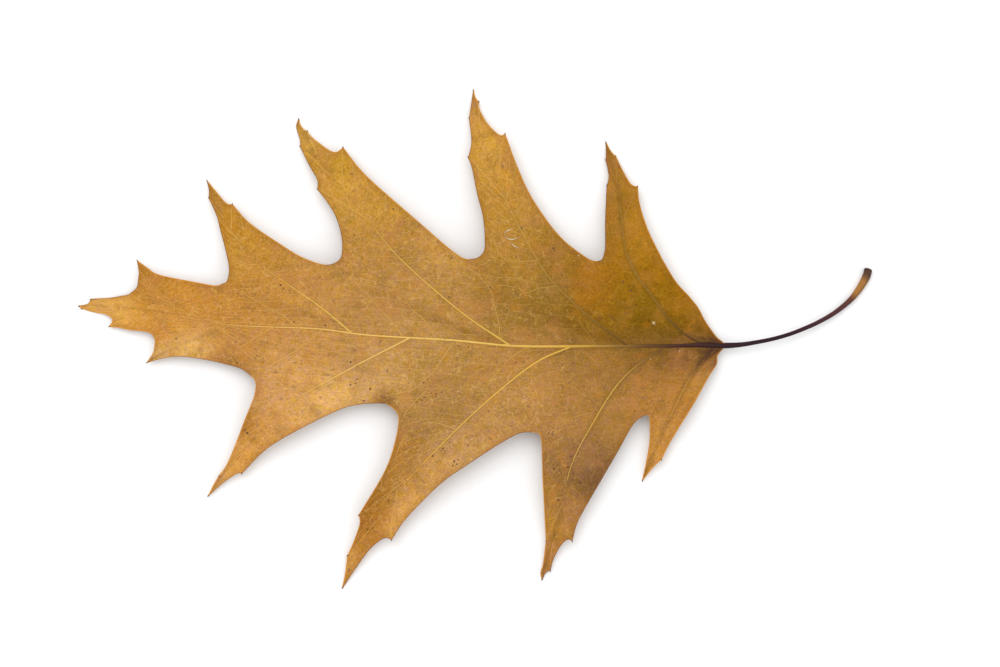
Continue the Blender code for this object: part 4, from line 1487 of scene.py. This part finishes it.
class Wiring:
    """A node tree, with short ways to add the nodes that the finishes use."""

    def __init__(self, tree: bpy.types.NodeTree) -> None:
        """Take hold of a node tree."""
        self.tree = tree

    def add(self, kind: str, inputs: dict[int | str, Feed], **settings: object) -> bpy.types.Node:
        """Add a node, set its settings, then link or set its inputs.

        Args:
            kind: the node's type.
            inputs: a socket or a value for each input, by name or number.
            settings: the node's own settings.

        Returns:
            The node.
        """
        node = self.tree.nodes.new(kind)
        for name, value in settings.items():
            setattr(node, name, value)
        for key, value in inputs.items():
            if isinstance(value, bpy.types.NodeSocket):
                self.tree.links.new(value, node.inputs[key])
            else:
                node.inputs[key].default_value = value
        return node

    def math(self, operation: str, a: Feed, b: Feed = 0.0) -> bpy.types.NodeSocket:
        """One sum, product or other operation on two numbers, kept between no limits."""
        return self.add("ShaderNodeMath", {0: a, 1: b}, operation=operation).outputs[0]

    def scaled(self, vector: Feed, factors: tuple[float, float, float]) -> bpy.types.NodeSocket:
        """A vector times one factor for each axis."""
        inputs = {0: vector, 1: factors}
        return self.add("ShaderNodeVectorMath", inputs, operation="MULTIPLY").outputs[0]

    def band(self, value: Feed, low: float, high: float) -> bpy.types.NodeSocket:
        """A smooth step from 0 at low to 1 at high."""
        inputs = {"Value": value, "From Min": low, "From Max": high}
        return self.add("ShaderNodeMapRange", inputs, interpolation_type="SMOOTHSTEP").outputs["Result"]

    def fade(self, value: Feed, low: float, high: float) -> bpy.types.NodeSocket:
        """A smooth step from 1 at low to 0 at high."""
        return self.math("SUBTRACT", 1.0, self.band(value, low, high))

    def mix(self, share: Feed, a: Feed, b: Feed, blend: str = "MIX") -> bpy.types.NodeSocket:
        """A share of colour b laid over colour a."""
        inputs = {0: share, 6: a, 7: b}
        return self.add("ShaderNodeMix", inputs, data_type="RGBA", blend_type=blend).outputs[2]

    def noise(self, vector: Feed, scale: float, detail: float = 2.0) -> bpy.types.NodeSocket:
        """Soft noise from 0 to 1, with that many features in a unit of the vector."""
        return self.add("ShaderNodeTexNoise", {"Vector": vector, "Scale": scale, "Detail": detail}).outputs[0]

    def cell_walls(self, vector: Feed, scale: float) -> bpy.types.NodeSocket:
        """Distance to the nearest wall between random cells."""
        inputs = {"Vector": vector, "Scale": scale}
        return self.add("ShaderNodeTexVoronoi", inputs, feature="DISTANCE_TO_EDGE").outputs["Distance"]

    def dots(self, vector: Feed, scale: float, size: float, share: float) -> bpy.types.NodeSocket:
        """Soft round dots at random places, 1 in the middle.

        Args:
            vector: the place that they depend on.
            scale: the number of cells in a unit of the vector.
            size: the radius of a dot, as a share of a cell.
            share: the share of the cells that hold a dot.

        Returns:
            The mask of the dots.
        """
        cell = self.add("ShaderNodeTexVoronoi", {"Vector": vector, "Scale": scale})
        chance = self.add("ShaderNodeSeparateColor", {0: cell.outputs["Color"]}).outputs[0]
        chosen = self.math("LESS_THAN", chance, share)
        return self.math("MULTIPLY", self.fade(cell.outputs["Distance"], size * 0.35, size), chosen)

    def attribute(self, name: str, output: str) -> bpy.types.NodeSocket:
        """A value that the piece keeps at its vertices."""
        return self.add("ShaderNodeAttribute", {}, attribute_name=name).outputs[output]


def paint(color: Color) -> tuple[float, float, float, float]:
    """A display colour as a node's colour value."""
    return (*linear(color).tolist(), 1.0)


def new_group(name: str, inputs: dict[str, str], outputs: dict[str, str]) -> bpy.types.NodeTree:
    """An empty shader node group with named inputs and outputs.

    Args:
        name: the group's name.
        inputs: the kind of socket for each input.
        outputs: the kind of socket for each output.

    Returns:
        The group.
    """
    group = bpy.data.node_groups.new(name, "ShaderNodeTree")
    for way, sockets in (("INPUT", inputs), ("OUTPUT", outputs)):
        for label, kind in sockets.items():
            group.interface.new_socket(label, in_out=way, socket_type=kind)
    return group


def tissue_group() -> bpy.types.NodeTree:
    """The dry tissue of the blade, shared by its upper and its under face.

    The blade's own tone is multiplied by a light, which adds up four noises: slow, patchy, fine, and
    streaks along the rows. Another noise is added to its blue, which makes it chalky in places. Then
    come, in order: rosy, olive and orange stains, a net of the finest veins in two sizes that fades
    towards the stalk, yellowing, painted shade and the stain beside the veins near the stalk, painted
    shade in the crease at every vein, dark blots and points, and a dark band with a bright line outside
    it along the edge.

    Returns:
        The group.
    """
    group = new_group(
        "dry_leaf_tissue",
        {"Tone": "NodeSocketColor", "Place": "NodeSocketVector", "Grain": "NodeSocketVector",
         "Edge": "NodeSocketFloat", "Vein": "NodeSocketFloat", "Net": "NodeSocketFloat",
         "Specks": "NodeSocketFloat"},
        {"Color": "NodeSocketColor", "Height": "NodeSocketFloat", "Roughness": "NodeSocketFloat"})
    w = Wiring(group)
    given = w.add("NodeGroupInput", {}).outputs
    place = w.scaled(given["Place"], (1000.0, 1000.0, 1000.0))
    swirl = w.add("ShaderNodeTexNoise", {"Vector": place, "Scale": 0.45, "Detail": 3.0}).outputs[1]
    shift = w.scaled(swirl, (2.6, 2.6, 2.6))
    bent = w.add("ShaderNodeVectorMath", {0: shift, 1: place}, operation="ADD").outputs[0]

    slow = w.noise(place, 0.10, 3.0)
    patchy = w.noise(bent, 0.30, 4.0)
    fine = w.add("ShaderNodeTexNoise", {"Vector": place, "Scale": 2.1, "Detail": 4.0, "Roughness": 0.62,
                                        "Distortion": 0.8}).outputs[0]
    streaks = w.noise(w.scaled(given["Grain"], (2.3, 0.34, 1.0)), 1.0, 3.0)
    light = w.math("ADD", w.math("MULTIPLY", slow, 0.28), w.math("MULTIPLY", patchy, 0.52))
    light = w.math("ADD", light, w.math("MULTIPLY", fine, 1.50))
    light = w.math("ADD", light, w.math("MULTIPLY", streaks, 0.40))
    light = w.math("SUBTRACT", light, 0.34)
    chalky = w.math("MULTIPLY", w.math("SUBTRACT", w.noise(bent, 0.9, 5.0), 0.53), 2.6)
    grey = w.add("ShaderNodeCombineColor", {0: light, 1: light, 2: w.math("ADD", light, chalky)}).outputs[0]
    color = w.mix(1.0, given["Tone"], grey, "MULTIPLY")

    rosy = w.math("MULTIPLY", w.band(w.noise(bent, 0.16, 3.0), 0.50, 0.66), 0.34)
    color = w.mix(rosy, color, paint((192, 128, 78)))
    drift = w.noise(w.scaled(bent, (1.0, 1.0, 7.0)), 0.20, 3.0)
    olive = w.math("MULTIPLY", w.band(drift, 0.53, 0.68), 0.34)
    color = w.mix(olive, color, paint((142, 108, 34)))
    drift = w.noise(w.scaled(bent, (1.3, 0.8, 3.0)), 0.24, 4.0)
    orange = w.math("MULTIPLY", w.band(drift, 0.54, 0.70), 0.30)
    color = w.mix(orange, color, paint((208, 132, 40)))

    wide = w.fade(w.cell_walls(bent, 0.42), 0.012, 0.060)
    tight = w.fade(w.cell_walls(bent, 1.30), 0.02, 0.16)
    broken = w.band(w.noise(place, 0.7, 2.0), 0.42, 0.60)
    net = w.math("MAXIMUM", w.math("MULTIPLY", wide, broken), w.math("MULTIPLY", tight, 0.22))
    along, across = w.add("ShaderNodeSeparateXYZ", {0: place}).outputs[:2]
    young = w.math("SUBTRACT", 1.0, w.math("MULTIPLY", w.band(along, 8.0, 40.0), 0.6))
    net = w.math("MULTIPLY", w.math("MULTIPLY", net, given["Net"]), young)
    color = w.mix(net, color, w.mix(0.42, color, paint((252, 206, 124))))

    yellowed = w.math("MULTIPLY", w.band(along, 14.0, 44.0), w.band(across, -1.0, 5.0))
    less_blue = w.mix(1.0, color, (1.0, 1.0, 0.25, 1.0), "MULTIPLY")
    color = w.mix(w.math("MULTIPLY", yellowed, 0.75), color, less_blue)
    # Painted shade: a darker olive halo beside the veins, strongest near the stalk
    shade = w.math("MULTIPLY", w.band(along, 2.0, 40.0), w.fade(given["Vein"], 0.1, 1.5))
    color = w.mix(w.math("MULTIPLY", shade, 0.28), color, paint((98, 74, 14)))
    stained = w.math("MULTIPLY", w.band(along, 52.0, 61.0), w.fade(given["Vein"], 0.4, 1.3))
    color = w.mix(w.math("MULTIPLY", stained, 0.85), color, paint((64, 38, 34)))
    # Painted shade in the crease where the blade meets every vein
    crease_shade = w.fade(given["Vein"], 0.25, 0.65)
    color = w.mix(w.math("MULTIPLY", crease_shade, 0.10), color, paint((120, 84, 34)))

    mask = w.band(w.noise(place, 0.10, 2.0), 0.46, 0.60)
    blots = w.math("MULTIPLY", w.dots(bent, 0.62, 0.34, 0.20), mask)
    blots = w.math("MULTIPLY", blots, w.math("MULTIPLY", given["Specks"], 0.55))
    color = w.mix(blots, color, paint((104, 74, 62)))
    strength = w.math("MULTIPLY", given["Specks"], 0.8)
    points = w.math("MULTIPLY", w.dots(place, 0.42, 0.10, 0.30), strength)
    color = w.mix(points, color, paint((74, 48, 42)))

    band = w.math("MULTIPLY", w.fade(given["Edge"], 0.3, 1.8), w.band(patchy, 0.30, 0.62))
    color = w.mix(w.math("MULTIPLY", band, 0.30), color, paint((146, 90, 38)))
    line = w.fade(given["Edge"], 0.06, 0.26)
    color = w.mix(w.math("MULTIPLY", line, 0.3), color, paint((232, 156, 62)))

    height = w.math("SUBTRACT", w.math("MULTIPLY", fine, 0.35), w.math("MULTIPLY", wide, 0.5))
    height = w.math("SUBTRACT", height, w.math("MULTIPLY", tight, 0.30))
    height = w.math("ADD", height, w.math("MULTIPLY", streaks, 0.25))
    rough = w.math("ADD", w.math("MULTIPLY", patchy, 0.18), 0.50)
    w.add("NodeGroupOutput", {"Color": color, "Height": height, "Roughness": rough})
    return group


def fibre_group() -> bpy.types.NodeTree:
    """Dry woody fibre, shared by the stalk and all the veins.

    The rod's own tone is multiplied by a light, which adds up fine lengthwise streaks and small
    blotches and is darker on the left flank: painted shade on the side turned from the light.

    Returns:
        The group.
    """
    group = new_group(
        "dry_fibre",
        {"Tone": "NodeSocketColor", "Place": "NodeSocketVector", "Around": "NodeSocketVector",
         "Contrast": "NodeSocketFloat"},
        {"Color": "NodeSocketColor", "Height": "NodeSocketFloat", "Roughness": "NodeSocketFloat"})
    w = Wiring(group)
    given = w.add("NodeGroupInput", {}).outputs
    place = w.scaled(given["Place"], (1000.0, 1000.0, 1000.0))
    streaks = w.noise(w.scaled(given["Place"], (600.0, 4200.0, 4200.0)), 1.0, 3.0)
    blots = w.noise(place, 0.9, 4.0)
    right = w.add("ShaderNodeSeparateXYZ", {0: given["Around"]}).outputs[1]
    light = w.math("ADD", w.math("MULTIPLY", streaks, 0.5), w.math("MULTIPLY", blots, 0.5))
    light = w.math("MULTIPLY", w.math("SUBTRACT", light, 0.5), given["Contrast"])
    # Painted shade: the left flank of every rod is darker, as the side turned from the light
    flank = w.math("MULTIPLY", w.band(right, -0.85, -0.25), 0.30)
    light = w.math("ADD", w.math("ADD", light, 0.74), flank)
    grey = w.add("ShaderNodeCombineColor", {0: light, 1: light, 2: light}).outputs[0]
    color = w.mix(1.0, given["Tone"], grey, "MULTIPLY")
    rough = w.math("ADD", w.math("MULTIPLY", blots, 0.25), 0.36)
    w.add("NodeGroupOutput", {"Color": color, "Height": streaks, "Roughness": rough})
    return group


@dataclass(frozen=True)
class TissueFinish:
    """The finish of one face of the blade."""

    name: str
    net: float
    specks: float
    pale_share: float
    relief: float
    specular: float
    pale: Color = (196, 152, 104)

    def make(self, group: bpy.types.NodeTree) -> bpy.types.Material:
        """Build the material round the shared tissue group.

        Args:
            group: the tissue group.

        Returns:
            The material.
        """
        material, w = new_material(self.name)
        tone = w.mix(self.pale_share, w.attribute("tone", "Color"), paint(self.pale))
        feeds = {"Tone": tone, "Place": w.add("ShaderNodeTexCoord", {}).outputs["Object"],
                 "Grain": w.attribute("grain", "Vector"), "Edge": w.attribute("edge_distance", "Fac"),
                 "Vein": w.attribute("vein_distance", "Fac"), "Net": self.net, "Specks": self.specks}
        tissue = w.add("ShaderNodeGroup", feeds, node_tree=group)
        dress_shader(w, tissue, self.relief, self.specular)
        return material


@dataclass(frozen=True)
class FibreFinish:
    """The finish of the stalk or of a set of veins."""

    name: str
    contrast: float
    relief: float
    specular: float

    def make(self, group: bpy.types.NodeTree) -> bpy.types.Material:
        """Build the material round the shared fibre group.

        Args:
            group: the fibre group.

        Returns:
            The material.
        """
        material, w = new_material(self.name)
        feeds = {"Tone": w.attribute("tone", "Color"), "Around": w.attribute("around", "Vector"),
                 "Place": w.add("ShaderNodeTexCoord", {}).outputs["Object"], "Contrast": self.contrast}
        fibre = w.add("ShaderNodeGroup", feeds, node_tree=group)
        dress_shader(w, fibre, self.relief, self.specular)
        return material


def new_material(name: str) -> tuple[bpy.types.Material, Wiring]:
    """A material with only its shader, and its wiring.

    Args:
        name: the material's name.

    Returns:
        The material, and the wiring of its nodes.
    """
    material = bpy.data.materials.new(name)
    material.use_nodes = True
    return material, Wiring(material.node_tree)


def dress_shader(w: Wiring, group: bpy.types.Node, relief: float, specular: float) -> None:
    """Feed a group's colour, roughness and height to the shader, and set its even gloss.

    Args:
        w: the wiring of the material.
        group: the group's node.
        relief: the depth of the finest relief, in metres.
        specular: the specular level.
    """
    shader = w.tree.nodes["Principled BSDF"]
    bump = w.add("ShaderNodeBump", {"Strength": 0.6, "Distance": relief, "Height": group.outputs["Height"]})
    w.tree.links.new(group.outputs["Color"], shader.inputs["Base Color"])
    w.tree.links.new(group.outputs["Roughness"], shader.inputs["Roughness"])
    w.tree.links.new(bump.outputs["Normal"], shader.inputs["Normal"])
    shader.inputs["Specular IOR Level"].default_value = specular


# --------------------------------------
# The leaf and its stage
# --------------------------------------

@dataclass
class Leaf:
    """The whole leaf: it builds every piece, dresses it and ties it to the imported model."""

    ribs: Ribs = field(default_factory=lambda: Ribs({Side.LEFT: LEFT_LOBES, Side.RIGHT: RIGHT_LOBES}))
    tones: BladeTones = field(default_factory=BladeTones)
    upper: TissueFinish = TissueFinish("blade_upper", net=0.75, specks=1.0, pale_share=0.0,
                                       relief=0.10 * MM, specular=0.06)
    under: TissueFinish = TissueFinish("blade_under", net=0.90, specks=0.5, pale_share=0.60,
                                       relief=0.14 * MM, specular=0.06)
    stalk: FibreFinish = FibreFinish("stalk_and_midrib", contrast=0.55, relief=0.06 * MM, specular=0.12)
    vein: FibreFinish = FibreFinish("side_vein", contrast=0.35, relief=0.03 * MM, specular=0.10)
    fine_vein: FibreFinish = FibreFinish("fine_vein", contrast=0.25, relief=0.02 * MM, specular=0.06)
    edge: FibreFinish = FibreFinish("blade_edge", contrast=0.45, relief=0.02 * MM, specular=0.06)

    def build(self) -> list[bpy.types.Object]:
        """Build every piece of the leaf.

        Returns:
            The finished pieces.
        """
        tissue, fibre = tissue_group(), fibre_group()
        faces = [self.upper.make(tissue), self.under.make(tissue)]
        stalk, vein, fine, edge = (finish.make(fibre) for finish in
                                   (self.stalk, self.vein, self.fine_vein, self.edge))
        pieces = []
        for side in Side:
            blade = Blade(side, self.ribs, self.tones)
            pieces.append(self._finish(blade.build(), faces))
            fine_veins = FineVeins(blade)
            parts = (("fine_veins", fine_veins.build_net, fine), ("blade_edge", fine_veins.build_cord, edge),
                     ("bristles", fine_veins.build_bristles, edge), ("specks", Specks(blade).build, fine))
            pieces += [self._finish(build().make(f"{name}_{side.value}"), [material])
                       for name, build, material in parts]
        shapes = {"midrib_and_stalk": (self.ribs.build_midrib(), stalk),
                  "stalk_scar": (self.ribs.build_scar(), stalk),
                  "side_veins": (self.ribs.build_side_veins(), vein),
                  "minor_veins": (self.ribs.build_minor_veins(self.tones), fine),
                  "scratches": (build_scratches(self.ribs), fine)}
        for name, (shape, material) in shapes.items():
            pieces.append(self._finish(shape.make(name), [material]))
        return pieces

    @staticmethod
    def _finish(piece: bpy.types.Object, materials: list[bpy.types.Material]) -> bpy.types.Object:
        """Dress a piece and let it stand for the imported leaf.

        Args:
            piece: the piece.
            materials: one material for each of its slots.

        Returns:
            The same piece.
        """
        if piece.data.materials:
            for slot, material in enumerate(materials):
                piece.data.materials[slot] = material
        else:
            piece.data.materials.append(materials[0])
        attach(piece, BODY)
        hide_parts(LEAF_NODE)
        LOG.info("%s: %d triangles", piece.name, len(piece.data.polygons))
        return piece


@dataclass
class Studio:
    """The pale floor, the soft light and the camera that looks straight down on the leaf."""

    middle: tuple[float, float] = (6.25 * MM, 1.25 * MM)
    camera_height: float = 592.0 * MM
    lens: float = 85.0
    floor_size: float = 3.0
    floor_share: float = 0.97
    world_strength: float = 0.70
    key: tuple[tuple[float, float, float], float, float] = ((-0.30, 0.60, 1.25), 1.1, 9.5)
    fill: tuple[tuple[float, float, float], float, float] = ((0.60, -0.40, 1.15), 1.4, 4.0)

    def build(self) -> None:
        """Set up the floor, the lights and the camera."""
        self._floor()
        self._world()
        self._softbox("key", *self.key)
        self._softbox("fill", *self.fill)
        self._camera()

    def _floor(self) -> None:
        """A wide, pale, matt floor."""
        half = self.floor_size / 2
        mesh = bpy.data.meshes.new("floor")
        mesh.from_pydata([(-half, -half, 0), (half, -half, 0), (half, half, 0), (-half, half, 0)], [],
                         [(0, 1, 2, 3)])
        floor = bpy.data.objects.new("floor", mesh)
        bpy.context.scene.collection.objects.link(floor)
        material = bpy.data.materials.new("pale_floor")
        material.use_nodes = True
        shader = material.node_tree.nodes["Principled BSDF"]
        shader.inputs["Base Color"].default_value = (*[self.floor_share] * 3, 1.0)
        shader.inputs["Roughness"].default_value = 0.9
        shader.inputs["Specular IOR Level"].default_value = 0.1
        mesh.materials.append(material)

    def _world(self) -> None:
        """An even white sky."""
        world = bpy.data.worlds.new("studio_sky")
        bpy.context.scene.world = world
        world.use_nodes = True
        world.node_tree.nodes["Background"].inputs[0].default_value = (1.0, 1.0, 1.0, 1.0)
        world.node_tree.nodes["Background"].inputs[1].default_value = self.world_strength
        bpy.context.scene.view_settings.view_transform = "Standard"

    def _softbox(self, name: str, place: tuple[float, float, float], size: float, power: float) -> None:
        """A square soft light that points at the middle of the leaf.

        Args:
            name: the light's name.
            place: where it stands, in metres.
            size: the length of its side, in metres.
            power: its power in watts.
        """
        data = bpy.data.lights.new(name, "AREA")
        data.size = size
        data.energy = power
        light = bpy.data.objects.new(name, data)
        light.location = place
        aim = -light.location
        light.rotation_euler = aim.to_track_quat("-Z", "Y").to_euler()
        bpy.context.scene.collection.objects.link(light)

    def _camera(self) -> None:
        """A camera straight above the leaf, with the left lobes at the top of its view."""
        data = bpy.data.cameras.new("camera")
        data.lens = self.lens
        camera = bpy.data.objects.new("camera", data)
        camera.location = (*self.middle, self.camera_height)
        bpy.context.scene.collection.objects.link(camera)
        bpy.context.scene.camera = camera


def main() -> None:
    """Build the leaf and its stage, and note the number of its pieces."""
    pieces = Leaf().build()
    Studio().build()
    LOG.info("leaf: %d pieces", len(pieces))


if __name__ == "__main__":
    logging.basicConfig(level=logging.INFO)
    main()
